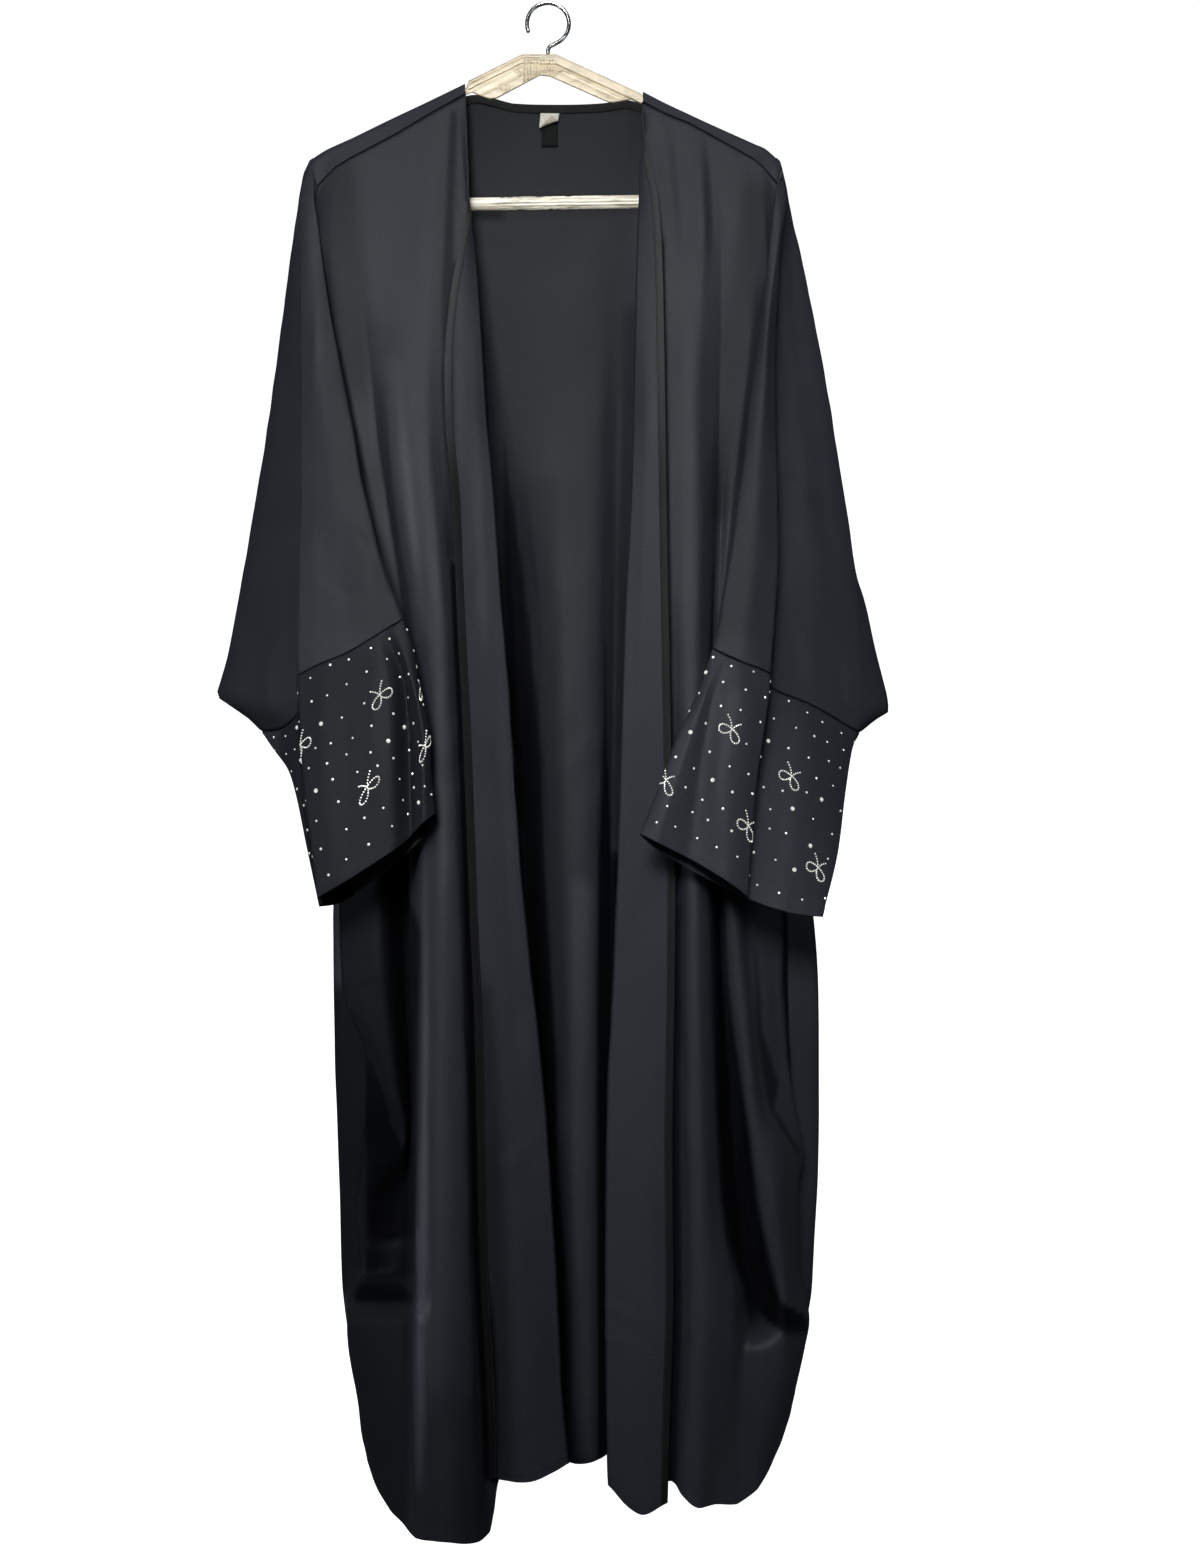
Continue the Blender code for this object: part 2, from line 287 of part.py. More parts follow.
def lofted(folds, levels, band, counts, closed=False):
    """Rows of elevation points: one for each level, across the folds in order."""
    ends = (levels[0], levels[-1])
    return [section([fold_point(points, level, band, ends) for points in folds], counts, closed) for level in levels]


# ------------------------------------------------------------------ objects
def new_collection(name):
    collection = bpy.data.collections.new(name)
    bpy.context.scene.collection.children.link(collection)
    return collection


def finish(name, colour, roughness, metallic=0.0):
    material = bpy.data.materials.new(name)
    material.use_nodes = True
    shader = material.node_tree.nodes["Principled BSDF"]
    shader.inputs["Base Color"].default_value = (*colour, 1.0)
    shader.inputs["Roughness"].default_value = roughness
    shader.inputs["Metallic"].default_value = metallic
    material.diffuse_color = (*colour, 1.0)
    return material


def sheet(name, rows, wall, material, collection, closed=False, notch=None):
    """A cloth panel: a grid of elevation points, given its wall by Solidify. A notch leaves out (rows, first column, last column)."""
    shape = bmesh.new()
    grid = [[shape.verts.new(place(*point)) for point in row] for row in rows]
    across = len(grid[0])
    for k, (upper, lower) in enumerate(zip(grid[:-1], grid[1:])):
        for i in range(across if closed else across - 1):
            if notch and k < notch[0] and notch[1] <= i < notch[2]:
                continue
            j = (i + 1) % across
            shape.faces.new((upper[i], lower[i], lower[j], upper[j]))
    bmesh.ops.delete(shape, geom=[v for v in shape.verts if not v.link_faces], context="VERTS")
    mesh = bpy.data.meshes.new(name)
    shape.to_mesh(mesh)
    shape.free()
    mesh.shade_smooth()
    mesh.materials.append(material)
    item = bpy.data.objects.new(name, mesh)
    collection.objects.link(item)
    solidify = item.modifiers.new("wall", "SOLIDIFY")
    solidify.thickness = wall / 1000
    solidify.offset = 0.0
    solidify.use_even_offset = True
    solidify.use_quality_normals = True
    return item


def moved_out(rows, distance, first, last):
    """Columns first..last of a sheet's rows, moved out along the sheet's own normals."""
    points = np.asarray(rows, float)
    down = np.gradient(points, axis=0)
    over = np.gradient(points, axis=1)
    normal = np.cross(over, down)
    normal /= np.linalg.norm(normal, axis=2, keepdims=True)
    return points[:, first:last] + distance * normal[:, first:last]


# -------------------------------------------------------------------- build
def over_shoulder(ridge, seam, across):
    """The back panel's first sections on a shoulder: seam, front slope, ridge, back slope, behind the arm."""
    top = straight(ridge, across)
    seam_drop = straight(seam, across) - SEAM_GAP / 2 - 0.15
    behind = 9.0 if across in (465, 643) else 16.0
    return [
        (seam_drop, across, -12.0),
        (seen_at(top + 4.2, -7.4), across, -7.4),
        (top, across, 0.0),
        (seen_at(top + 3.8, 7.2), across, 7.2),
        (seen_at(top + behind, 11.0), across, 11.0),
    ]


def at_neck(across):
    """The back panel's edge in the neckline, which has no shoulder to turn over: only its last section is used."""
    return [(straight(NECKLINE, across), across, 10.0)] * 5


def shoulder_tip(turn, front, back, reach):
    """A point of the armhole where it crosses the shoulder's tip; turn runs from 0 at the front to 1 at the back."""
    tip_drop, tip_across = reach
    bend = math.sin(math.pi * turn)
    drop = front[0] + (back[0] - front[0]) * turn - (front[0] - tip_drop) * bend**0.9
    across = front[1] + (tip_across - front[1]) * bend
    return (drop, across, -10.0 * math.cos(math.pi * turn))


def front_rows(table, seam):
    """A front panel's sections; its first lies just under the shoulder seam."""
    folds = []
    for points in table.values():
        first = points[0]
        folds.append(((straight(seam, first[1]) + SEAM_GAP / 2 + 0.15, first[1], first[2]), *points[1:]))
    counts = [1] * (len(folds) - 1)
    return lofted(folds, FRONT_LEVELS, (215, 1330), counts)


def back_rows():
    names = list(BACK)
    hung = {}
    for name, points in BACK.items():
        _, across, depth = points[-1]
        hem = points[-1][0] if name.startswith("seam") else seen_at(straight(BACK_HEM, across), depth)
        hung[name] = (*points[:-1], (hem, across, depth))
    left = [317, 325, 335, 350, 370, 395, 430, 465]
    neck = [480, 512, 548, 584, 605, 625]
    right = [643, 665, 690, 710, 740, 755, 765, 778]
    tops = [over_shoulder(RIDGE_LEFT, SEAM_LEFT, x) for x in left]
    tops += [at_neck(x) for x in neck]
    tops += [over_shoulder(RIDGE_RIGHT, SEAM_RIGHT, x) for x in right]
    # At each tip the edge follows the armhole over the ridge.
    for edge, ridge, shift, slant in ((tops[0], RIDGE_LEFT[0], 1.0, 3.3), (tops[-1], RIDGE_RIGHT[-1], -1.0, 1.6)):
        x = ridge[0] + 1.2 * shift
        edge[1] = (ridge[1] + 9, x + slant * shift, -9.0)
        edge[2] = (ridge[1] + 1, x, 0.0)
        edge[3] = (ridge[1] + 9, x + slant * shift, 9.0)
        edge[4] = (ridge[1] + 20, x + (slant + 1.6) * shift, 10.0)
    counts = [1] * (len(names) - 1)
    rows = [[top[k] for top in tops] for k in range(5)]
    folds = [((max(points[0][0] - 40, top[4][0] + 12), points[0][1], 11.0), *points) for top, points in zip(tops, hung.values())]
    rows += lofted([points if top[4][0] > 160 else fold for fold, points, top in zip(folds, hung.values(), tops)], BACK_LEVELS, (240, 1310), counts)
    return rows


def sleeve_rows(table, front, back, reach):
    folds = [(shoulder_tip(points[0], front, back, reach), *points[1:]) for points in table.values()]
    counts = [1] * (len(folds) - 1)
    for i, name in enumerate(list(table)[:-1]):
        if name in ("fold", "front", "side", "outer", "rear_in"):
            counts[i] = 2
    return lofted(folds, SLEEVE_LEVELS, (260, 500), counts)


def cuff_rows(table):
    """A cuff's tube, its first section just under the sleeve's last."""
    folds = []
    for points in table.values():
        top, bottom = points[0][0] + 1.3, points[-1][0]
        folds.append([(top + (bottom - top) * share, *along(points, top + (bottom - top) * share)) for share in CUFF_LEVELS])
    counts = [2 if name in ("under", "middle", "front", "outer", "side", "flap", "rear_out", "rear_in") else 1 for name in table]
    return [section([fold[k] for fold in folds], counts, closed=True) for k in range(len(CUFF_LEVELS))]


def outline(name, corners, thickness, bevel, material, collection):
    """A flat piece: an outline in the hanger's plane, extruded both ways and bevelled."""
    curve = bpy.data.curves.new(name, "CURVE")
    curve.dimensions = "2D"
    curve.fill_mode = "BOTH"
    curve.extrude = thickness / 2000
    spline = curve.splines.new("POLY")
    spline.points.add(len(corners) - 1)
    for point, (drop, across) in zip(spline.points, corners):
        x, _, z = place(drop, across, 0.0)
        point.co = (x, z, 0.0, 1.0)
    spline.use_cyclic_u = True
    item = bpy.data.objects.new(name, curve)
    item.rotation_euler = (math.pi / 2, 0.0, 0.0)
    collection.objects.link(item)
    bpy.context.view_layer.update()
    mesh = bpy.data.meshes.new_from_object(item.evaluated_get(bpy.context.evaluated_depsgraph_get()))
    shape = bmesh.new()
    shape.from_mesh(mesh)
    bmesh.ops.remove_doubles(shape, verts=shape.verts, dist=1e-6)
    bmesh.ops.dissolve_limit(shape, angle_limit=0.01, verts=shape.verts, edges=shape.edges)
    shape.to_mesh(mesh)
    shape.free()
    mesh.materials.clear()
    mesh.materials.append(material)
    solid = bpy.data.objects.new(name, mesh)
    solid.matrix_world = item.matrix_world.copy()
    bpy.data.objects.remove(item)
    bpy.data.curves.remove(curve)
    solid.name = name
    collection.objects.link(solid)
    if bevel:
        edge = solid.modifiers.new("edge", "BEVEL")
        edge.width = bevel / 1000
        edge.segments = 2
        edge.limit_method = "ANGLE"
        edge.angle_limit = math.radians(50)
    return solid


def wire(name, points, diameter, material, collection):
    curve = bpy.data.curves.new(name, "CURVE")
    curve.dimensions = "3D"
    curve.bevel_depth = diameter / 2000
    curve.bevel_resolution = 2
    curve.use_fill_caps = True
    spline = curve.splines.new("POLY")
    spline.points.add(len(points) - 1)
    for target, point in zip(spline.points, points):
        target.co = (*place(*point), 1.0)
    curve.materials.append(material)
    item = bpy.data.objects.new(name, curve)
    collection.objects.link(item)
    return item


def arc(centre, radius, start, stop, count):
    """Points of a circle in the hanger's plane, angles in degrees from across, up."""
    return [
        (centre[0] - radius * math.sin(math.radians(a)), centre[1] + radius * math.cos(math.radians(a)), 0.0)
        for a in np.linspace(start, stop, count)
    ]


def main():
    for item in list(bpy.data.objects):
        bpy.data.objects.remove(item)
    parts = new_collection("abaya_on_hanger")
    black = finish("black_satin", (0.022, 0.023, 0.027), 0.55)
    black_inner = finish("black_band", (0.018, 0.018, 0.021), 0.6)
    cream = finish("cream_tape", (0.80, 0.77, 0.68), 0.7)
    plastic = finish("pale_plastic", (0.86, 0.82, 0.72), 0.18)
    chrome = finish("chrome", (0.80, 0.80, 0.80), 0.12, 1.0)

    left_rows = front_rows(FRONT_LEFT, SEAM_LEFT)
    right_rows = front_rows(FRONT_RIGHT, SEAM_RIGHT)
    body_rows = back_rows()
    sheet("back", body_rows, CLOTH, black, parts, notch=(4, 7, 14))
    sheet("front_left", left_rows, CLOTH, black, parts)
    sheet("front_right", right_rows, CLOTH, black, parts)
    sheet("sleeve_left", sleeve_rows(SLEEVE_LEFT, (187, 314.8), (187, 315.3), (161.5, 308.8)), CLOTH, black, parts)
    sheet("sleeve_right", sleeve_rows(SLEEVE_RIGHT, (184, 781.0), (184, 780.2), (161, 782.2)), CLOTH, black, parts)
    sheet("cuff_left", cuff_rows(CUFF_LEFT), CLOTH, black, parts, closed=True)
    sheet("cuff_right", cuff_rows(CUFF_RIGHT), CLOTH, black, parts, closed=True)

    # The narrow band stitched along each front's free edge lies on the side
    # of the cloth that the turned-back edge shows.
    clear = CLOTH / 2 + SEAM_GAP + BAND / 2 + 0.5
    for name, rows, side in (("front_band_left", left_rows, -1.0), ("front_band_right", right_rows, 1.0)):
        lifted = moved_out(rows, side * clear, -2, None)
        band = []
        for inner, edge in lifted:
            span = np.linalg.norm(inner - edge)
            band.append((edge + (inner - edge) * min(1.0, FRONT_BAND_WIDTH / span), edge))
        sheet(name, band, BAND, black_inner, parts)

    # The neck band follows the back neckline on its inner side.
    neck = [at_neck(x) for x in (480, 512, 548, 584, 605, 625)]
    sheet(
        "neck_band",
        [[(top[4][0] + 0.2 + NECK_BAND_WIDTH * k / 2, top[4][1], top[4][2] - clear) for top in neck] for k in (0, 1, 2)],
        BAND,
        black_inner,
        parts,
    )
    tab = [[(drop, across, depth) for across in (540.5, 558.5)] for drop, depth in ((112.8, 5.0), (119.5, 4.8), (127, 5.6))]
    tab[2][1] = (121, 557.5, 5.0)
    sheet("neck_tab", tab, BAND, cream, parts)
    sheet("size_tab", [[(drop, across, depth) for across in (541.5, 557.5)] for drop, depth in ((122, 7.6), (146.5, 8.8))], BAND, black_inner, parts)

    # Hanger: two sloping arms in one piece, the trouser bar with its upturned
    # ends, and a plain wire hook. The arms end under the cloth at each tip, and
    # their lower edges rise beside the neckline, to pass above its corners.
    arms = (
        (54, 522), (54, 556), (91, 636), (103.5, 661), (118, 690), (141, 740), (150.5, 758), (155.5, 765),
        (163, 768), (173, 764), (172, 758), (128, 660), (116, 650), (104.5, 642), (99.7, 631), (103.2, 613), (101.5, 606), (76.5, 550),
        (75.5, 540), (98.5, 497), (99.3, 490), (96, 480), (92.5, 472), (96, 464), (112, 456), (126, 440),
        (172, 334), (176, 326), (170, 322.5), (162, 324), (150.5, 336), (134, 370), (106, 430), (87.5, 466), (80.5, 469),
    )
    outline("hanger_arms", arms, ARM_THICKNESS, 2.5, plastic, parts)
    bar = [(173.8, 338, 0.0)]
    bar += arc((198, 346), 8, 180, 270, 4)
    bar += arc((191.8, 744), 8, 270, 360, 4)
    bar += [(173.8, 752, 0.0)]
    wire("hanger_bar", bar, BAR_DIAMETER, plastic, parts)
    centre = (CROWN_DROP + HOOK_RADIUS - HOOK_WIRE / 2, CENTRE_ACROSS)
    hook = [(53.6, CENTRE_ACROSS, 0.0), (50, CENTRE_ACROSS, 0.0), (46.5, CENTRE_ACROSS + 2, 0.0)]
    hook += arc(centre, HOOK_RADIUS, -65, 205, 22)
    wire("hanger_hook", hook, HOOK_WIRE, chrome, parts)


main()
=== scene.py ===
"""The looks of an open-front black abaya on a pale plastic hanger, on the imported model's frame.

The cloth panels are fine sheets through the same fold lines as the solids
they stand for, with creases, puckers, seams, hems and stones added here.
A point of a table is (drop, across, depth) in mm on the full-size front
elevation; place() turns it into metres in the model's own frame.
"""

import math

import bmesh
import bpy
import numpy as np
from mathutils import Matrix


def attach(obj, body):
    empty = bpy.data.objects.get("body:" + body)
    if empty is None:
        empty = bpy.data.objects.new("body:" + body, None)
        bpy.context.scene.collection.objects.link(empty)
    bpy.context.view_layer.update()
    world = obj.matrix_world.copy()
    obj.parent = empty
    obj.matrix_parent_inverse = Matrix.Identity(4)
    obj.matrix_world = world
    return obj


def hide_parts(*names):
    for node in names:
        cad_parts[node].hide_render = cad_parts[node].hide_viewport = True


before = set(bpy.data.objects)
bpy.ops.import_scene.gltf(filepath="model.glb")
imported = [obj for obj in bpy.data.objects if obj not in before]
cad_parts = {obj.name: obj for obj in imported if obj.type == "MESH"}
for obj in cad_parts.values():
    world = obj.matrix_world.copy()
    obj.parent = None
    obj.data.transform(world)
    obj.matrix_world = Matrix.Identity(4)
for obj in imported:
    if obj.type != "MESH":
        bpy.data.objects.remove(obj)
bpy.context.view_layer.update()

EYE_DISTANCE = 1400.0
EYE_ACROSS, EYE_DROP = 600.0, 776.5
CENTRE_ACROSS = 548.0  # the hanger's centre line
CROWN_DROP = 5.0  # the hook's inside crown, the origin
CLOTH = 1.2  # wall of the cloth panels
BAND = 1.0  # wall of the narrow bands and tabs
SEAM_GAP = 0.3
FRONT_BAND_WIDTH = 7.0
NECK_BAND_WIDTH = 7.0
ARM_THICKNESS = 9.0
BAR_DIAMETER = 12.0
HOOK_WIRE = 4.0
HOOK_RADIUS = 21.0  # centre line of the hook's round

# ------------------------------------------------------ shoulders and neck
# across, drop of the shoulder seam, which lies just in front of the ridge
SEAM_LEFT = ((317, 187), (325, 177.3), (335, 167.2), (350, 158), (370, 147.5), (395, 134), (430, 113), (465, 93.7))
SEAM_RIGHT = ((643, 101.5), (665, 113), (690, 123.2), (710, 134.3), (740, 150.8), (755, 159.5), (765, 168.6), (778, 184))
# across, drop of the shoulder's ridge, where the cloth lies over the hanger
RIDGE_LEFT = ((309.5, 161), (313, 157), (320, 153), (335, 145.5), (350, 138.8), (370, 129.2), (395, 117), (430, 100.5), (455, 88), (465, 83.5))
RIDGE_RIGHT = ((643, 91.5), (665, 102.8), (690, 114.5), (710, 123.8), (740, 137.3), (755, 144), (768, 149.8), (776, 155.5), (780, 161.5))
# across, drop of the neckline at the back
NECKLINE = ((465, 93.5), (472, 92.8), (480, 96), (492, 100.3), (506, 104.2), (522, 105.4), (548, 106), (575, 106), (600, 105), (614, 103.2), (631, 99.7), (643, 100.5))

# across, true drop of the back's hem, a little higher at the sides
BACK_HEM = ((372, 1436), (388, 1456), (410, 1470), (460, 1479), (577, 1483), (690, 1478), (745, 1466), (768, 1452), (786, 1432))

# --------------------------------------------------------------- fold tables
# fold: (drop, across, depth) down each fold line. The first point of a front's
# fold takes its drop from the shoulder seam.
FRONT_LEFT = {
    "seam": ((187, 317, -12), (250, 314, -9), (300, 317, -8), (420, 336, -8), (520, 354, -8), (600, 374, -6), (645, 395.5, 2),
             (700, 390, 18), (800, 383, 11), (900, 369, 9), (1000, 363, 9), (1100, 366, 12), (1150, 364, 18), (1200, 360, 24), (1265, 361, 24), (1300, 370, 12), (1396, 388, 16)),
    "rim": ((178, 325, -12), (210, 324, -16), (240, 321, -18), (300, 326, -17), (420, 345, -18), (520, 364, -18), (600, 384, -14), (650, 399, -4),
            (700, 379, 10), (800, 356, -2), (905, 340, -12), (985, 342, -18), (1055, 370, -16), (1095, 384, -14), (1135, 402, -6),
            (1200, 372, 26), (1270, 364, 22), (1300, 348, -2), (1325, 347.5, -14), (1412, 360, -12)),
    "face": ((168, 335, -12), (240, 331, -21), (300, 335, -22), (420, 355, -24), (520, 374, -22), (600, 391, -18), (660, 402, -8),
             (720, 392, 2), (800, 372, -16), (900, 360, -22), (985, 364, -28), (1055, 382, -30), (1095, 392, -26), (1135, 404, -12),
             (1200, 384, 32), (1270, 379, 28), (1300, 369, -14), (1325, 370, -34), (1479, 373.5, -38)),
    "brink": ((158, 350, -12), (300, 350, -24), (420, 364, -23), (520, 382, -22), (600, 397, -20), (660, 406, -12),
              (720, 402, -8), (800, 392, -20), (900, 381, -24), (985, 385, -30), (1040, 391, -30), (1090, 398, -26), (1132, 407, -12),
              (1200, 396, 34), (1270, 393, 28), (1300, 392, -22), (1325, 392, -46), (1509, 390, -54)),
    "pit": ((148, 370, -12), (300, 366, -23), (420, 376, -22), (520, 390, -22), (600, 402, -22), (700, 411, -12),
            (800, 409, 2), (900, 402, 20), (1000, 406, 24), (1100, 410, 24), (1200, 408, 26), (1270, 406, 14), (1300, 405, -36), (1325, 405, -54), (1525, 405, -66)),
    "lobe_left": ((137, 395, -12), (300, 388, -25), (420, 388, -34), (470, 391, -38), (550, 401, -42), (600, 410, -44), (650, 416, -46), (720, 422, -48),
                  (800, 424, -54), (900, 422, -62), (1050, 422, -67), (1200, 418, -72), (1290, 418, -76), (1325, 412, -78), (1538, 416, -80)),
    "lobe_mid": ((120, 418, -12), (300, 410, -28), (420, 408, -41), (600, 427, -54), (800, 438, -68), (900, 440, -78), (1100, 443, -88), (1300, 444, -96), (1542, 446, -100)),
    "lobe_flank": ((114, 430, -12), (300, 426, -28), (420, 427, -41), (600, 442, -54), (800, 453, -64), (900, 458, -72), (1100, 464, -80), (1300, 468, -86), (1543, 474, -90)),
    "lobe_right": ((109, 439, -12), (240, 440, -21), (300, 442, -25), (420, 442, -34), (600, 454, -43), (800, 463, -48), (900, 467, -50), (1100, 473, -52), (1300, 479, -56), (1531, 489.5, -64)),
    "under": ((105, 446, -12), (190, 450, -16), (240, 456, -19), (300, 461, -23), (420, 467, -29), (600, 480, -36), (900, 498, -43), (1100, 514, -45), (1300, 518, -49), (1466, 504, -52)),
    "fold": ((101, 452, -12), (140, 455, -13), (190, 462.5, -15), (215, 470, -17), (240, 474, -19), (300, 479, -24), (420, 487, -29), (500, 494, -33), (600, 501, -36), (690, 509, -38), (770, 514, -40), (880, 522, -42),
             (960, 530, -42), (1100, 545, -42), (1200, 552, -43), (1300, 558, -44), (1400, 563, -45), (1463, 569, -46)),
    "lapel": ((98, 458, -12), (140, 461, -13.5), (190, 467, -17), (215, 471.5, -21.5), (240, 469, -25.5), (300, 465, -30), (420, 467, -37), (600, 479, -43), (900, 496, -51), (1100, 511, -54), (1300, 520, -58), (1482, 531, -62)),
    "edge": ((96, 465, -12), (140, 466.5, -17.5), (190, 468, -22.5), (215, 466, -26), (240, 460, -28.5), (270, 455, -30), (300, 450, -33), (370, 445, -39), (420, 446, -42), (500, 453, -47), (600, 457, -51), (720, 463, -54),
             (900, 470, -58), (1050, 476, -61), (1250, 480, -64), (1400, 488, -67), (1478.5, 490, -69)),
}
FRONT_RIGHT = {
    "seam": ((184, 778, -12), (250, 776, -9), (300, 774, -8), (420, 760, -8), (520, 748, -8), (600, 737, -6), (645, 726.5, 2),
             (700, 732, 18), (800, 762, 10), (900, 786, 9), (1000, 788, 10), (1100, 791, 12), (1200, 792, 12), (1300, 790, 10), (1396, 776, 16)),
    "rim": ((168, 765, -12), (200, 764, -16), (240, 766, -18), (272, 768, -18), (300, 765, -17), (420, 751, -18), (520, 738, -18), (600, 728, -14), (650, 722, -4),
            (700, 733, 8), (800, 764, -6), (900, 783, -14), (980, 780, -18), (1060, 787, -16), (1095, 792, -14), (1155, 803, -8), (1190, 798, -12), (1260, 798, -14),
            (1320, 809, -22), (1345, 805, -28), (1398, 793, -32)),
    "tuck": ((160, 755, -12), (300, 753, -22), (420, 742, -24), (520, 730, -22), (600, 724, -18), (700, 724, 0), (800, 738, -14), (890, 742, -26), (920, 750, -26),
             (1000, 757, -25), (1080, 765, -30), (1110, 771, -32), (1155, 796, -22), (1200, 790, -34), (1300, 795, -42), (1345, 796, -48), (1430, 785, -44)),
    "second_mid": ((150, 740, -12), (300, 741, -22), (420, 734, -23), (520, 725, -20), (600, 721, -18), (700, 718, -8), (800, 726, -32), (900, 734, -48),
                   (1000, 743, -54), (1100, 753, -58), (1200, 773, -58), (1300, 784, -56), (1345, 784, -62), (1464, 771, -56)),
    "second_left": ((141.5, 725, -12), (300, 730, -21), (420, 727, -22), (520, 721, -18), (600, 718, -18), (700, 714, -12), (800, 718, -26), (900, 724, -44),
                    (1000, 730, -50), (1080, 740, -54), (1150, 747, -56), (1200, 757, -54), (1250, 763, -50), (1290, 770, -42), (1325, 768, -50), (1350, 764, -64), (1489, 757, -70)),
    "valley": ((137, 717, -12), (300, 721, -21), (420, 719, -22), (520, 717, -20), (600, 714, -20), (700, 711, -14), (800, 714, -4), (900, 718, 4), (1000, 722, 10),
               (1080, 727, 16), (1150, 731, 20), (1200, 737, 22), (1250, 743, 20), (1290, 752, 4), (1320, 752, -30), (1350, 744, -62), (1504, 737, -78)),
    "first_right": ((133, 710, -12), (300, 712, -24), (420, 712, -27), (520, 711, -30), (600, 710, -34), (700, 708, -40), (800, 710, -44), (900, 712, -52),
                    (1000, 715, -58), (1100, 716, -62), (1200, 720, -66), (1250, 726, -68), (1300, 734, -70), (1350, 730, -78), (1504, 714, -86)),
    "first_mid": ((122, 690, -12), (240, 703, -25), (300, 700, -28), (420, 698, -36), (600, 698, -46), (800, 697, -62), (900, 697, -74), (1100, 700, -84), (1300, 705, -90), (1508, 698, -94)),
    "first_flank": ((117, 679, -12), (300, 685, -27), (420, 685, -36), (600, 685, -46), (800, 688, -60), (900, 687, -69), (1100, 689, -78), (1300, 693, -84), (1497, 684, -86)),
    "first_left": ((112, 668, -12), (240, 668, -22), (300, 671, -25), (420, 671, -33), (600, 672, -41), (800, 677, -47), (900, 679, -50), (1100, 677, -53), (1300, 678, -57), (1481, 672, -63)),
    "under": ((108, 660, -12), (140, 659, -13), (190, 657, -17), (240, 656, -19), (300, 655, -23), (420, 652, -29), (600, 649, -36), (900, 645, -43), (1100, 640, -45), (1300, 640, -49), (1484, 640, -53)),
    "fold": ((105, 653, -12), (130, 647, -13), (160, 640, -15), (200, 639, -17), (260, 637, -21), (300, 636, -24), (420, 633.5, -29), (480, 632, -32), (560, 628, -35), (620, 625, -37), (880, 617, -41), (1000, 612, -41),
             (1100, 607, -42), (1300, 605, -44), (1400, 606, -45), (1485, 608, -47)),
    "lapel": ((102, 648, -12), (130, 643.8, -15), (160, 642.6, -18.4), (200, 647, -23), (240, 650, -26), (300, 650, -30), (420, 649, -37), (600, 646, -43), (900, 646, -51), (1100, 640, -54), (1300, 641, -59), (1515, 641, -64)),
    "edge": ((100.5, 642.5, -12), (115, 642.5, -15.5), (130, 644.5, -19), (160, 650, -23), (200, 658, -27), (240, 661, -30), (300, 663, -33), (420, 665, -42), (600, 668, -50), (800, 672, -56), (900, 675, -58),
             (1000, 674, -60), (1150, 672, -62), (1300, 673, -65), (1400, 670, -67), (1503, 667, -69)),
}
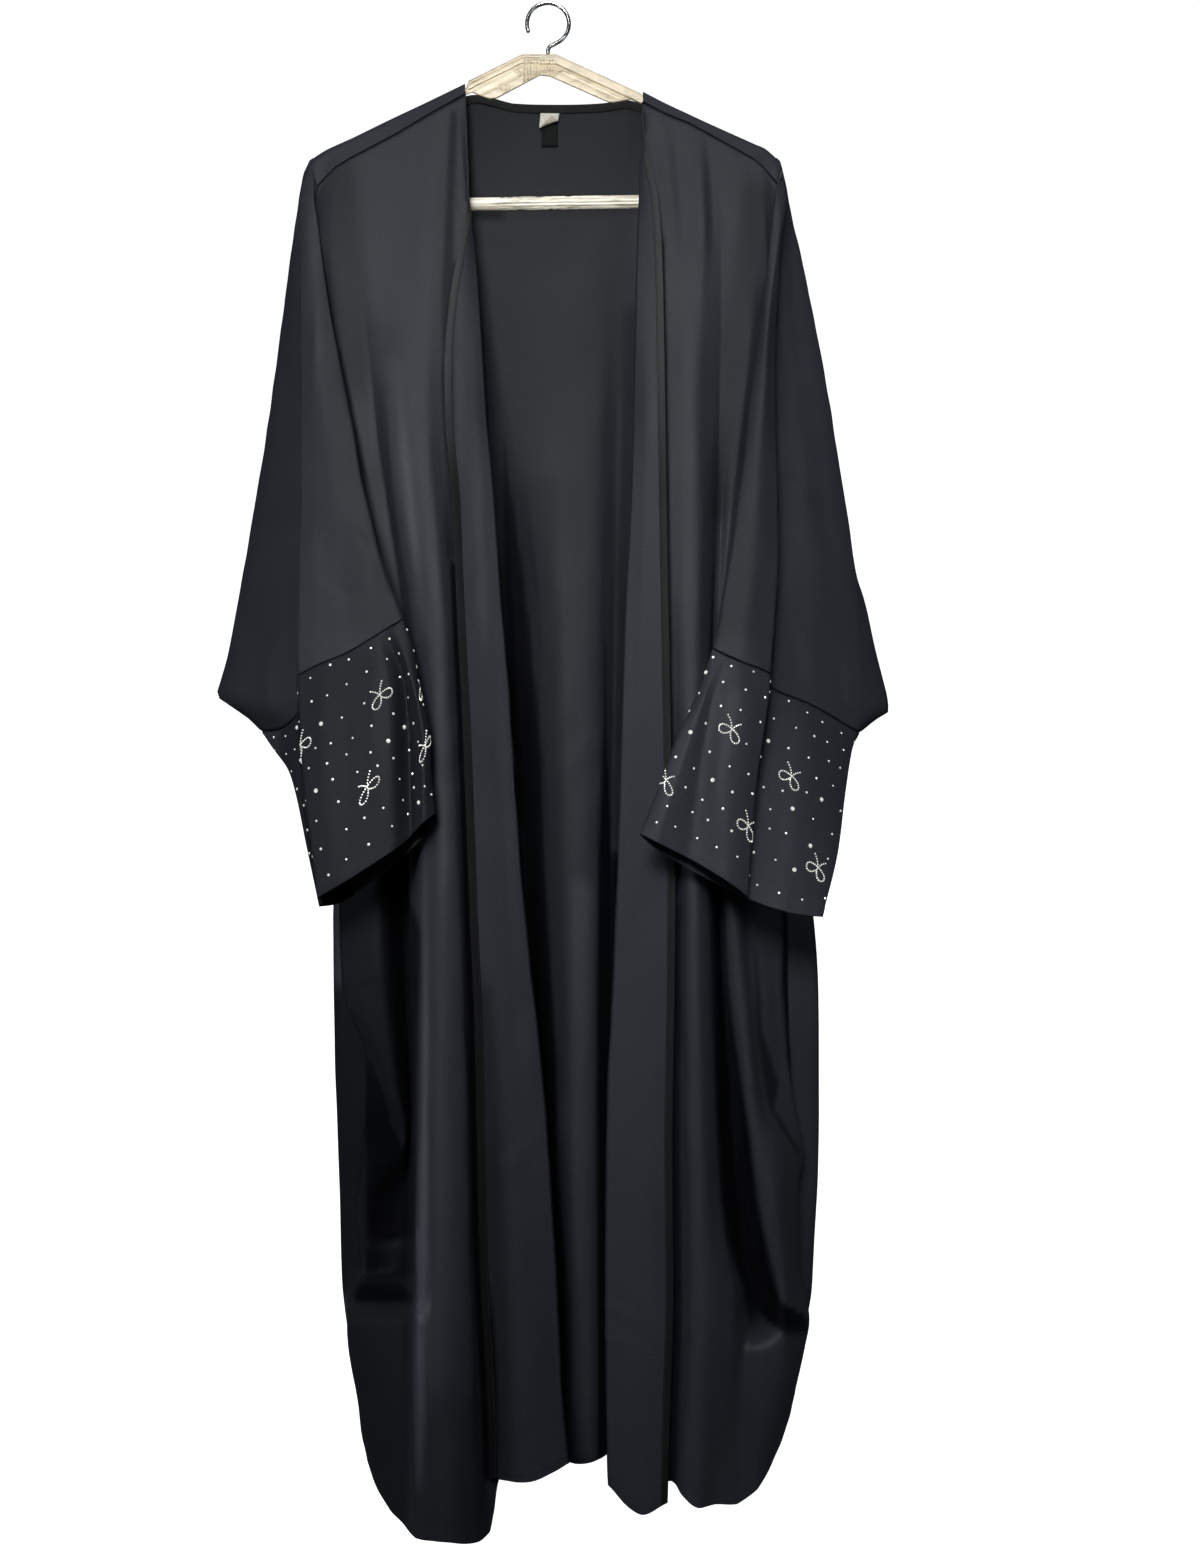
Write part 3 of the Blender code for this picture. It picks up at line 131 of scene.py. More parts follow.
BACK = {
    "seam_left": ((187, 317, 10), (250, 315, 12), (300, 318, 16), (420, 337, 26), (520, 354, 28), (600, 374, 26), (645, 396, 5),
                  (700, 390.5, 21), (800, 383.5, 14), (900, 369.5, 12), (1000, 363.5, 12), (1100, 366.5, 15), (1150, 364.5, 21.5), (1200, 360.5, 28.5), (1265, 361, 28), (1300, 370.5, 15), (1396, 388.5, 19)),
    "side_left": ((187, 325, 12), (300, 326, 18), (420, 345, 29), (600, 381, 34), (645, 398, 26), (700, 384, 38), (800, 350, 32), (920, 333, 28), (1000, 334, 28),
                  (1120, 337, 32), (1200, 340, 36), (1280, 342.5, 36), (1330, 348, 30), (1425, 372, 24)),
    "back_a": ((187, 335, 12), (300, 337, 20), (420, 355, 32), (600, 391, 40), (700, 396, 46), (800, 368, 54), (920, 352, 54), (1120, 355, 60), (1300, 364, 58), (1440, 386, 54)),
    "back_b": ((187, 350, 12), (300, 352, 20), (420, 370, 31), (600, 402, 40), (700, 408, 44), (920, 388, 48), (1120, 392, 50), (1300, 396, 48), (1450, 402, 50)),
    "back_c": ((187, 370, 12), (300, 372, 21), (420, 388, 36), (600, 416, 50), (920, 420, 60), (1120, 424, 68), (1300, 425, 72), (1458, 427, 74)),
    "back_d": ((187, 395, 12), (300, 398, 20), (420, 412, 31), (600, 436, 38), (920, 449, 42), (1120, 456, 46), (1300, 458, 46), (1460, 459, 48)),
    "back_e": ((187, 430, 12), (300, 432, 20), (420, 445, 33), (600, 466, 48), (920, 482, 60), (1120, 488, 66), (1300, 490, 70), (1462, 492, 74)),
    "back_f": ((187, 466, 12), (300, 468, 19), (420, 480, 30), (600, 494, 40), (920, 510, 48), (1120, 516, 52), (1300, 520, 56), (1462, 522, 58)),
    "dark_left": ((190, 484, 12), (300, 492, 20), (420, 502, 33), (600, 515, 48), (920, 534, 58), (1120, 541, 62), (1300, 546, 66), (1460, 550, 66)),
    "ridge_a": ((190, 512, 12), (300, 518, 18), (420, 526, 27), (600, 540, 34), (920, 551, 38), (1120, 556, 42), (1300, 560, 44), (1459, 563, 46)),
    "ridge_b": ((190, 548, 12), (300, 550, 17), (420, 552, 25), (600, 558, 29), (920, 566, 31), (1120, 571, 34), (1300, 574, 36), (1462, 577, 38)),
    "ridge_c": ((190, 584, 12), (300, 582, 17), (420, 580, 25), (600, 580, 29), (920, 584, 31), (1120, 586, 34), (1300, 588, 36), (1463, 591, 40)),
    "ridge_d": ((190, 608, 12), (300, 604, 18), (420, 601, 27), (600, 599, 34), (920, 599, 38), (1120, 600, 42), (1300, 600, 44), (1463, 601, 48)),
    "dark_right": ((190, 626, 12), (300, 624, 20), (420, 619, 33), (600, 615, 48), (920, 611, 57), (1120, 610, 60), (1300, 610, 62), (1463, 612, 64)),
    "back_g": ((187, 643, 12), (300, 643, 19), (420, 638, 30), (600, 632, 41), (920, 628, 48), (1120, 628, 52), (1300, 630, 56), (1462, 632, 58)),
    "back_h": ((187, 665, 12), (300, 664, 20), (420, 656, 33), (600, 650, 48), (920, 652, 60), (1120, 655, 66), (1300, 658, 68), (1460, 660, 72)),
    "back_i": ((187, 690, 12), (300, 688, 20), (420, 678, 31), (600, 672, 38), (920, 680, 43), (1120, 688, 46), (1300, 690, 46), (1458, 690, 50)),
    "back_j": ((187, 712, 12), (300, 708, 21), (420, 697, 35), (600, 690, 48), (920, 707, 58), (1120, 716, 62), (1300, 718, 64), (1452, 716, 66)),
    "back_k": ((187, 738, 12), (300, 734, 20), (420, 720, 31), (600, 706, 40), (700, 708, 44), (920, 738, 48), (1120, 750, 50), (1300, 752, 50), (1444, 744, 54)),
    "back_l": ((187, 753, 12), (300, 750, 20), (420, 736, 32), (600, 719, 40), (700, 724, 46), (800, 758, 52), (920, 775, 54), (1120, 784, 58), (1300, 782, 56), (1434, 766, 56)),
    "side_right": ((187, 763, 12), (300, 762, 18), (420, 749, 29), (600, 729, 34), (645, 725, 26), (700, 738, 38), (800, 788, 32), (920, 813, 28), (1000, 818, 28), (1085, 819, 30),
                   (1170, 818, 30), (1240, 814, 30), (1290, 811, 30), (1330, 804, 28), (1422, 784, 24)),
    "seam_right": ((184, 778, 10), (250, 775, 12), (300, 773, 16), (420, 759, 26), (520, 747, 28), (600, 736, 26), (645, 726, 5),
                   (700, 731.5, 21), (800, 761.5, 13), (900, 785.5, 12), (1000, 787.5, 13), (1100, 790.5, 15), (1200, 791.5, 15), (1300, 789.5, 13), (1396, 775.5, 19)),
}
# The turn of each sleeve fold over the shoulder's tip, 0 at the front and 1 at
# the back, then its points. Each last point lies on the cuff's seam.
SLEEVE_LEFT = {
    "arm_front": (0.0, (250, 312.5, -10.5), (300, 315, -10.5), (420, 334, -11), (520, 352, -11), (600, 372, -10), (645, 392, -2.6)),
    "fold": (0.12, (190, 313, -14), (220, 317, -19), (250, 321, -24), (300, 328, -32), (350, 337, -40), (400, 347, -48), (440, 355, -54), (478, 361, -59), (505, 368, -62), (530, 374, -65),
             (555, 380, -68), (585, 391, -71), (619, 403, -74)),
    "front": (0.26, (220, 308, -20), (300, 314, -34), (400, 324, -50), (500, 334, -60), (600, 350, -69), (651, 350, -73)),
    "ridge": (0.38, (200, 301, -13), (250, 300.5, -21), (300, 301, -28), (400, 301, -38), (480, 301, -44), (560, 299, -50), (640, 297, -56), (675, 298, -60)),
    "behind": (0.45, (200, 301.5, -7), (300, 302, -15), (400, 303, -22), (560, 302, -30), (640, 301, -34), (706, 301, -32)),
    "outer": (0.52, (200, 299, -2), (300, 291.5, -4), (400, 287, -6), (560, 274, -8), (640, 264, -8), (700, 262, -8), (727, 284, -6)),
    "side": (0.58, (175, 303.5, 2), (205, 299, 3), (250, 291.6, 4), (300, 285.3, 6), (350, 278.6, 8), (400, 271.6, 10), (450, 264.3, 12), (480, 259.2, 14), (520, 252.6, 16), (560, 245.6, 18), (600, 238.6, 20),
             (655, 228, 22), (682, 220.8, 24), (694, 217.8, 26), (707, 232.5, 26), (717, 246.5, 26), (731, 261.5, 22)),
    "rear_out": (0.7, (220, 304, 14), (300, 298, 26), (400, 287, 38), (500, 278, 46), (600, 264, 52), (680, 250, 54), (705, 262, 50), (725, 290, 36)),
    "rear_in": (0.85, (220, 310, 16), (300, 308, 24), (400, 312, 38), (500, 320, 46), (600, 330, 50), (660, 340, 44), (692, 346, 26)),
    "arm_back": (1.0, (250, 313.5, 12.5), (300, 316.2, 16.5), (420, 335.2, 26.5), (520, 352.2, 28.5), (600, 371.8, 27), (645, 391.8, 5)),
}
SLEEVE_RIGHT = {
    "arm_front": (0.0, (250, 777.5, -10.5), (300, 776, -10.5), (420, 762, -11), (520, 750, -11), (600, 739, -10), (645, 730, -2.6)),
    "fold": (0.12, (190, 777, -15), (240, 770.5, -23), (272, 768, -27), (300, 764, -31), (340, 759, -37), (380, 753, -43), (420, 748, -48), (460, 744, -53), (500, 738, -58), (550, 731, -64),
             (600, 722, -70), (635, 716, -74), (648, 713, -76)),
    "front": (0.26, (220, 780, -21), (300, 770, -35), (400, 763, -51), (500, 758, -61), (600, 749, -72), (662, 743, -80)),
    "ridge": (0.38, (200, 785, -14), (250, 780, -22), (300, 777, -28), (350, 774.5, -33), (420, 775, -40), (480, 777, -46), (540, 778, -52), (600, 776, -58), (640, 773, -64), (673, 770, -70)),
    "behind": (0.45, (200, 786, -8), (300, 777, -16), (420, 774, -22), (540, 776, -28), (640, 771, -42), (686, 770, -50)),
    "outer": (0.52, (200, 788, -2), (300, 791, -3), (420, 803, -5), (540, 814, -8), (640, 818, -12), (705, 812, -24)),
    "side": (0.58, (190, 786, 2), (225, 793.5, 4), (260, 801.6, 6), (300, 810, 8), (345, 819, 10), (390, 827, 12), (420, 832, 13), (470, 839.5, 14), (520, 847.5, 15), (560, 853, 15), (600, 856, 14),
             (640, 857, 12), (690, 861, 10), (731, 857, 8)),
    "flap": (0.66, (225, 789, 10), (300, 805, 16), (390, 822, 22), (470, 838, 26), (520, 846, 28), (560, 851.5, 30), (600, 864, 33), (640, 873, 36), (680, 882.5, 39), (700, 887.5, 40), (711, 888.5, 40),
             (718, 878, 36), (732, 860, 24)),
    "rear_out": (0.76, (220, 786, 15), (300, 796, 27), (400, 807, 39), (500, 816, 48), (600, 828, 54), (690, 845, 56), (712, 842, 50), (726, 826, 38)),
    "rear_in": (0.88, (220, 780, 16), (300, 783, 25), (400, 781, 38), (500, 776, 46), (600, 772, 50), (660, 768, 46), (698, 770, 26)),
    "arm_back": (1.0, (250, 776.5, 12.5), (300, 774.8, 16.5), (420, 760.8, 26.5), (520, 748.8, 28.5), (600, 738.2, 27), (645, 730.2, 5)),
}
# The cuffs are tubes; each first point lies just under the sleeve's last.
CUFF_LEFT = {
    "under": ((645, 392, -2), (680, 402, -26), (740, 413, -52), (800, 423, -70), (832, 428, -76)),
    "inner": ((619, 403, -74), (650, 413, -78), (680, 418, -82), (740, 430, -86), (770, 431, -88), (814, 435, -90)),
    "lobe": ((625, 393, -76), (680, 412, -90), (740, 423, -96), (822, 424, -100)),
    "pit": ((630, 384, -75), (680, 404, -72), (740, 409, -74), (836, 411, -84)),
    "front": ((636, 373, -75), (680, 388, -86), (740, 392, -93), (850, 394, -102)),
    "middle": ((651, 350, -73), (740, 348, -88), (879, 350, -105)),
    "ridge": ((675, 298, -60), (750, 301, -72), (800, 306, -84), (898, 318, -98)),
    "behind": ((706, 301, -32), (750, 304, -46), (800, 308, -68), (900, 321, -90)),
    "outer": ((727, 284, -6), (760, 292, -28), (800, 302, -52), (903, 323, -84)),
    "side": ((731, 261.5, 22), (748, 273, 6), (770, 288.5, -14), (790, 295, -32), (850, 307.5, -58), (906.5, 319.5, -77)),
    "rear_out": ((725, 290, 36), (750, 304, 14), (800, 322, -20), (902, 342, -70)),
    "rear_in": ((692, 346, 26), (740, 358, -10), (800, 368, -42), (880, 374, -72)),
}
CUFF_RIGHT = {
    "under": ((645, 730, -2), (690, 718, -46), (740, 702, -72), (790, 684, -90), (846, 652, -102)),
    "inner": ((648, 713, -76), (680, 703, -86), (710, 690, -94), (740, 676, -100), (785, 660, -106), (834, 640, -110)),
    "lobe": ((652, 721, -79), (700, 703, -98), (785, 674, -112), (842, 656, -117)),
    "trough": ((656, 729, -80), (700, 713, -94), (785, 699, -104), (860, 692, -110)),
    "front": ((662, 743, -80), (700, 739, -98), (785, 727, -111), (880, 725, -118)),
    "ridge": ((673, 770, -70), (700, 768, -82), (780, 757, -98), (896, 747, -110)),
    "behind": ((686, 770, -50), (730, 763, -60), (800, 753, -82), (898, 746, -100)),
    "outer": ((705, 812, -24), (740, 813, -38), (800, 806, -64), (913, 790, -94)),
    "side": ((731, 857, 8), (742, 853, 2), (790, 845.5, -24), (850, 838, -54), (917, 822, -84)),
    "flap": ((732, 860, 24), (750, 850, 12), (800, 840, -16), (915, 815, -74)),
    "rear_out": ((726, 826, 38), (760, 820, 4), (820, 805, -40), (908, 785, -80)),
    "rear_in": ((698, 770, 26), (740, 762, -12), (800, 744, -58), (886, 722, -90)),
}


# ------------------------------------------------------------ sheet geometry
WALL = 0.0008  # visual wall of the cloth, m
SPACING = 4.6  # mm between the points of a fine sheet
rng = np.random.default_rng(7)


def place(points):
    """Elevation points (..., 3) as metres in the model's frame."""
    points = np.asarray(points, float)
    spread = 1 + points[..., 2] / EYE_DISTANCE
    x = EYE_ACROSS + (points[..., 1] - EYE_ACROSS) * spread - CENTRE_ACROSS
    z = CROWN_DROP - (EYE_DROP + (points[..., 0] - EYE_DROP) * spread)
    return np.stack([x, points[..., 2], z], axis=-1) / 1000


def seen_at(height, depth):
    return EYE_DROP + (height - EYE_DROP) / (1 + depth / EYE_DISTANCE)


def along(points, at):
    """The smooth curve (monotone cubic) through points whose first number rises, read at many values."""
    points = np.asarray(points, float)
    t, values = points[:, 0], points[:, 1:]
    step = np.diff(t)[:, None]
    slope = np.diff(values, axis=0) / step
    tangent = np.vstack([slope[:1], np.zeros_like(slope[1:]), slope[-1:]])
    product, total = slope[:-1] * slope[1:], slope[:-1] + slope[1:]
    tangent[1:-1] = np.where(product > 0, 2 * product / np.where(total == 0, 1, total), 0)
    at = np.clip(np.atleast_1d(np.asarray(at, float)), t[0], t[-1])
    i = np.minimum(np.searchsorted(t, at, side="right") - 1, len(t) - 2)
    h = (t[i + 1] - t[i])[:, None]
    s = (at - t[i])[:, None] / h
    return (
        values[i] * (1 + 2 * s) * (1 - s) ** 2
        + tangent[i] * h * s * (1 - s) ** 2
        + values[i + 1] * s * s * (3 - 2 * s)
        + tangent[i + 1] * h * s * s * (s - 1)
    )


def curve_at(points, at):
    """A two-column table read smoothly."""
    got = along(points, at)[:, 0]
    return got if np.ndim(at) else float(got[0])


def fold_line(points, levels, band, ends):
    """A fold's points at every level: identity inside the band, stretched to the fold's own ends outside it."""
    top, bottom = points[0][0], points[-1][0]
    upper, lower = band
    levels = np.asarray(levels, float)
    drop = np.where(
        levels < upper,
        top + (upper - top) * (levels - ends[0]) / (upper - ends[0]),
        np.where(levels > lower, lower + (bottom - lower) * (levels - lower) / (ends[1] - lower), levels),
    )
    return np.column_stack([drop, along(points, drop)])


def sections(folds, counts, closed=False, sharp=None):
    """Centripetal Catmull-Rom across (rows, folds, 3), with the given pieces between folds.
    sharp holds a number for each fold: 0 leaves it round, and 1 presses it to a crisp edge."""
    n = folds.shape[1]
    sharp = np.zeros(n) if sharp is None else sharp
    out = []
    for i, count in enumerate(counts):
        if closed:
            p = [folds[:, (i + k) % n] for k in (-1, 0, 1, 2)]
        else:
            p = [folds[:, min(max(i + k, 0), n - 1)] for k in (-1, 0, 1, 2)]
            if i == 0:
                p[0] = 2 * p[1] - p[2]
            if i + 2 > n - 1:
                p[3] = 2 * p[2] - p[1]
        t = [np.zeros((len(folds), 1))]
        for a, b in zip(p[:-1], p[1:]):
            t.append(t[-1] + np.maximum(np.linalg.norm(b - a, axis=1, keepdims=True), 0.5) ** 0.5)
        for k in range(count):
            u = t[1] + (t[2] - t[1]) * k / count
            a1 = (t[1] - u) / (t[1] - t[0]) * p[0] + (u - t[0]) / (t[1] - t[0]) * p[1]
            a2 = (t[2] - u) / (t[2] - t[1]) * p[1] + (u - t[1]) / (t[2] - t[1]) * p[2]
            a3 = (t[3] - u) / (t[3] - t[2]) * p[2] + (u - t[2]) / (t[3] - t[2]) * p[3]
            b1 = (t[2] - u) / (t[2] - t[0]) * a1 + (u - t[0]) / (t[2] - t[0]) * a2
            b2 = (t[3] - u) / (t[3] - t[1]) * a2 + (u - t[1]) / (t[3] - t[1]) * a3
            share = k / count
            press = sharp[i] * (1 - share) + sharp[(i + 1) % n] * share
            smooth = (t[2] - u) / (t[2] - t[1]) * b1 + (u - t[1]) / (t[2] - t[1]) * b2
            out.append((1 - press) * smooth + press * (p[1] + (p[2] - p[1]) * share))
    if not closed:
        out.append(folds[:, -1])
    return np.stack(out, axis=1)


def pressed(table, **values):
    return np.array([values.get(name, 0.0) for name in table])


def counts_for(folds, closed=False, spacing=SPACING, least=2):
    gaps = np.linalg.norm(np.diff(folds if not closed else np.concatenate([folds, folds[:, :1]], axis=1), axis=1), axis=2)
    return [max(least, int(math.ceil(g / spacing))) for g in np.percentile(gaps, 85, axis=0)]


def smooth_rows(rows, strength=0.5, times=1):
    """Averages each row with its neighbours, leaving the first and last."""
    for _ in range(times):
        rows[1:-1] = (1 - strength) * rows[1:-1] + strength * 0.5 * (rows[:-2] + rows[2:])
    return rows


def normals_of(world, closed=False):
    down = np.gradient(world, axis=0)
    if closed:
        over = (np.roll(world, -1, axis=1) - np.roll(world, 1, axis=1)) / 2
    else:
        over = np.gradient(world, axis=1)
    normal = np.cross(over, down)
    return normal / np.maximum(np.linalg.norm(normal, axis=2, keepdims=True), 1e-12)


def arc_lengths(world, axis):
    step = np.linalg.norm(np.diff(world, axis=axis), axis=2)
    pad = [(0, 0), (0, 0)]
    pad[axis] = (1, 0)
    return np.cumsum(np.pad(step, pad), axis=axis)


class Sheet:
    """A fine cloth grid: elevation points, then world points, changed by creases before it is built."""

    def __init__(self, name, rows, closed=False):
        self.name, self.seen, self.closed = name, rows, closed
        self.world = place(rows)
        self.base = self.world.copy()

    def normals(self):
        return normals_of(self.base, self.closed)

    def columns(self):
        return self.world.shape[1]

    def drop(self):
        return self.seen[..., 0]

    def across(self):
        return self.seen[..., 1]

    def depth(self):
        return self.seen[..., 2]

    def push(self, amount_mm, direction=None):
        """Moves points by mm: along the normals, or by depth (towards the viewer is negative)."""
        if direction == "depth":
            self.world[..., 1] += amount_mm / 1000
        else:
            self.world += self.normals() * (amount_mm / 1000)[..., None]

    def crease(self, start, end, width, height, front=None, fade=0.5, skew=0.0):
        """A soft ridge (height negative: towards the viewer) or trough along a line of the elevation.
        front limits it to points nearer or further than a depth: ("<", depth) or (">", depth)."""
        (d0, a0), (d1, a1) = start, end
        drop, across = self.drop(), self.across()
        length = math.hypot(d1 - d0, a1 - a0)
        ud, ua = (d1 - d0) / length, (a1 - a0) / length
        s = (drop - d0) * ud + (across - a0) * ua
        q = -(drop - d0) * ua + (across - a0) * ud
        t = np.clip(s / length, 0, 1)
        beyond = np.where(s < 0, -s, np.where(s > length, s - length, 0))
        taper = np.sin(math.pi * np.clip(t, 0.02, 0.98)) ** fade
        side = np.where(q > 0, 1 + skew, 1 - skew)
        shape = np.exp(-((q / (width * side)) ** 2)) * np.exp(-((beyond / width) ** 2)) * taper
        if front:
            sign, depth = front
            shape = shape * ((self.depth() < depth) if sign == "<" else (self.depth() > depth))
        self.push(height * shape, "depth")

    def seam_dip(self, edge, amount=0.7, reach=2.4):
        """The cloth turns in at a seam. edge is top, bottom, first or last."""
        axis = 0 if edge in ("top", "bottom") else 1
        far = arc_lengths(self.base, axis) * 1000
        if edge in ("bottom", "last"):
            far = (far[-1:] if axis == 0 else far[:, -1:]) - far
        return amount * np.exp(-((far / reach) ** 2))


def ripples(sheet, amplitude, across_mm, down_mm, seed, fade_top=40.0):
    """Slow uneven hanging waves, longer down the cloth than across it."""
    r = np.random.default_rng(seed)
    over = arc_lengths(sheet.base, 1) * 1000
    down = arc_lengths(sheet.base, 0) * 1000
    total = np.zeros(over.shape)
    for _ in range(7):
        la = across_mm * r.uniform(0.6, 1.7)
        ld = down_mm * r.uniform(0.6, 1.8)
        wave = np.sin(2 * math.pi * (over / la + 0.35 * np.sin(2 * math.pi * down / ld + r.uniform(0, 6.3)) + r.uniform(0, 1)))
        gate = 0.5 + 0.5 * np.sin(2 * math.pi * down / (ld * 1.3) + r.uniform(0, 6.3))
        total += wave * gate * r.uniform(0.4, 1.0)
    total *= amplitude / 2.2
    total *= 1 - np.exp(-((down / fade_top) ** 2))
    sheet.push(total)


def painted_fold_shade_of(sheet, reach=46.0, slope=0.30):
    """Painted shade for deep folds, 0 to 1: how deep each point lies behind the cloth on both sides of it in its row,
    joined with the sheet's own painted shade.
    """
    across, depth = sheet.seen[..., 1], sheet.world[..., 1] * 1000
    girth = arc_lengths(sheet.base, 1) * 1000
    low, high = getattr(sheet, "deep", (4.0, 30.0))
    out = np.zeros(across.shape)
    for r in range(len(across)):
        step = across[r][None, :] - across[r][:, None]
        apart = np.abs(girth[r][None, :] - girth[r][:, None])
        if sheet.closed:
            apart = np.minimum(apart, girth[r][-1] - apart)
        near = (np.abs(step) < reach) & (apart < 2.2 * reach)
        rise = depth[r][None, :] + slope * np.abs(step)
        left = np.where(near & (step <= 0), rise, np.inf).min(axis=1)
        right = np.where(near & (step >= 0), rise, np.inf).min(axis=1)
        out[r] = depth[r] - np.maximum(left, right)
    share = np.clip((out - low) / (high - low), 0, 1)
    share = share * share * (3 - 2 * share)
    return np.maximum(smooth_rows(share, 0.5, 3), getattr(sheet, "shade", 0.0))


def build(sheet, material, wall=WALL, notch=None, keep=None):
    """The sheet as a mesh with its wall, UVs in metres and smooth shading."""
    world = sheet.world
    rows, columns = world.shape[:2]
    ids = np.arange(rows * columns).reshape(rows, columns)
    left, right = ids, np.roll(ids, -1, axis=1)
    last = columns if sheet.closed else columns - 1
    faces = np.stack([left[:-1, :last], left[1:, :last], right[1:, :last], right[:-1, :last]], axis=-1)
    use = np.ones(faces.shape[:2], bool)
    if notch:
        use[: notch[0], notch[1] : notch[2]] = False
    faces = faces[use]
    used = np.unique(faces)
    renumber = np.full(rows * columns, -1)
    renumber[used] = np.arange(len(used))
    points = world.reshape(-1, 3)[used]
    mesh = bpy.data.meshes.new(sheet.name)
    mesh.from_pydata(points.tolist(), [], renumber[faces].tolist())
    u = arc_lengths(sheet.base, 1)
    v = arc_lengths(sheet.base, 0)
    uv = np.stack([u - u[:, -1:] / 2, v], axis=-1).reshape(-1, 2)[used]
    layer = mesh.uv_layers.new(name="cloth")
    index = np.empty(len(mesh.loops), np.int32)
    mesh.loops.foreach_get("vertex_index", index)
    layer.data.foreach_set("uv", uv[index].astype(np.float32).ravel())
    # painted shade of folds, painted shade of seams and bands, and painted highlights, stored as mesh attributes for
    # the satin
    for name, values in (("painted_fold_shade", painted_fold_shade_of(sheet)), ("crack", getattr(sheet, "crack", None)), ("lit", getattr(sheet, "lit", None))):
        values = np.zeros((rows, columns)) if values is None else values
        mesh.attributes.new(name, "FLOAT", "POINT").data.foreach_set("value", values.reshape(-1)[used].astype(np.float32))
    mesh.materials.append(material)
    mesh.shade_smooth()
    item = bpy.data.objects.new(sheet.name, mesh)
    bpy.context.scene.collection.objects.link(item)
    solidify = item.modifiers.new("wall", "SOLIDIFY")
    solidify.thickness = wall
    solidify.offset = 0.0
    area = 0.0
    quad = points[renumber[faces]]
    area = 0.5 * np.linalg.norm(np.cross(quad[:, 2] - quad[:, 0], quad[:, 3] - quad[:, 1]), axis=1).sum()
    item["area"] = float(area)
    return item


def point_on(sheet, drop, across, nearest=True):
    """World point and outward normal of the sheet where the elevation shows it, on its nearest layer."""
    p = sheet.seen[..., :2]
    if sheet.closed:
        p = np.concatenate([p, p[:, :1]], axis=1)
        world = np.concatenate([sheet.world, sheet.world[:, :1]], axis=1)
    else:
        world = sheet.world
    a, b, c, d = p[:-1, :-1], p[1:, :-1], p[1:, 1:], p[:-1, 1:]
    low = np.minimum(np.minimum(a, b), np.minimum(c, d))
    high = np.maximum(np.maximum(a, b), np.maximum(c, d))
    target = np.array([drop, across])
    inside = ((target >= low - 0.01) & (target <= high + 0.01)).all(axis=2)
    best = None
    for r, k in zip(*np.nonzero(inside)):
        o = a[r, k]
        e1, e2 = b[r, k] - o, d[r, k] - o
        det = e1[0] * e2[1] - e1[1] * e2[0]
        if abs(det) < 1e-6:
            continue
        w = target - o
        s = (w[0] * e2[1] - w[1] * e2[0]) / det
        t = (e1[0] * w[1] - e1[1] * w[0]) / det
        if -0.05 <= s <= 1.05 and -0.05 <= t <= 1.05:
            q = world[r, k] * (1 - s) * (1 - t) + world[r + 1, k] * s * (1 - t) + world[r + 1, k + 1] * s * t + world[r, k + 1] * (1 - s) * t
            n = np.cross(world[r, k + 1] - world[r, k], world[r + 1, k] - world[r, k])
            n /= max(np.linalg.norm(n), 1e-12)
            if best is None or (q[1] < best[0][1]) == nearest:
                best = (q, n if n[1] < 0 else -n)
    return best


# ----------------------------------------------------------------- materials
def new_material(name):
    material = bpy.data.materials.new(name)
    material.use_nodes = True
    tree = material.node_tree
    shader = tree.nodes["Principled BSDF"]
    return material, tree, shader


def node(tree, kind, **values):
    made = tree.nodes.new(kind)
    for key, value in values.items():
        if key in made.inputs.keys():
            made.inputs[key].default_value = value
        else:
            setattr(made, key, value)
    return made


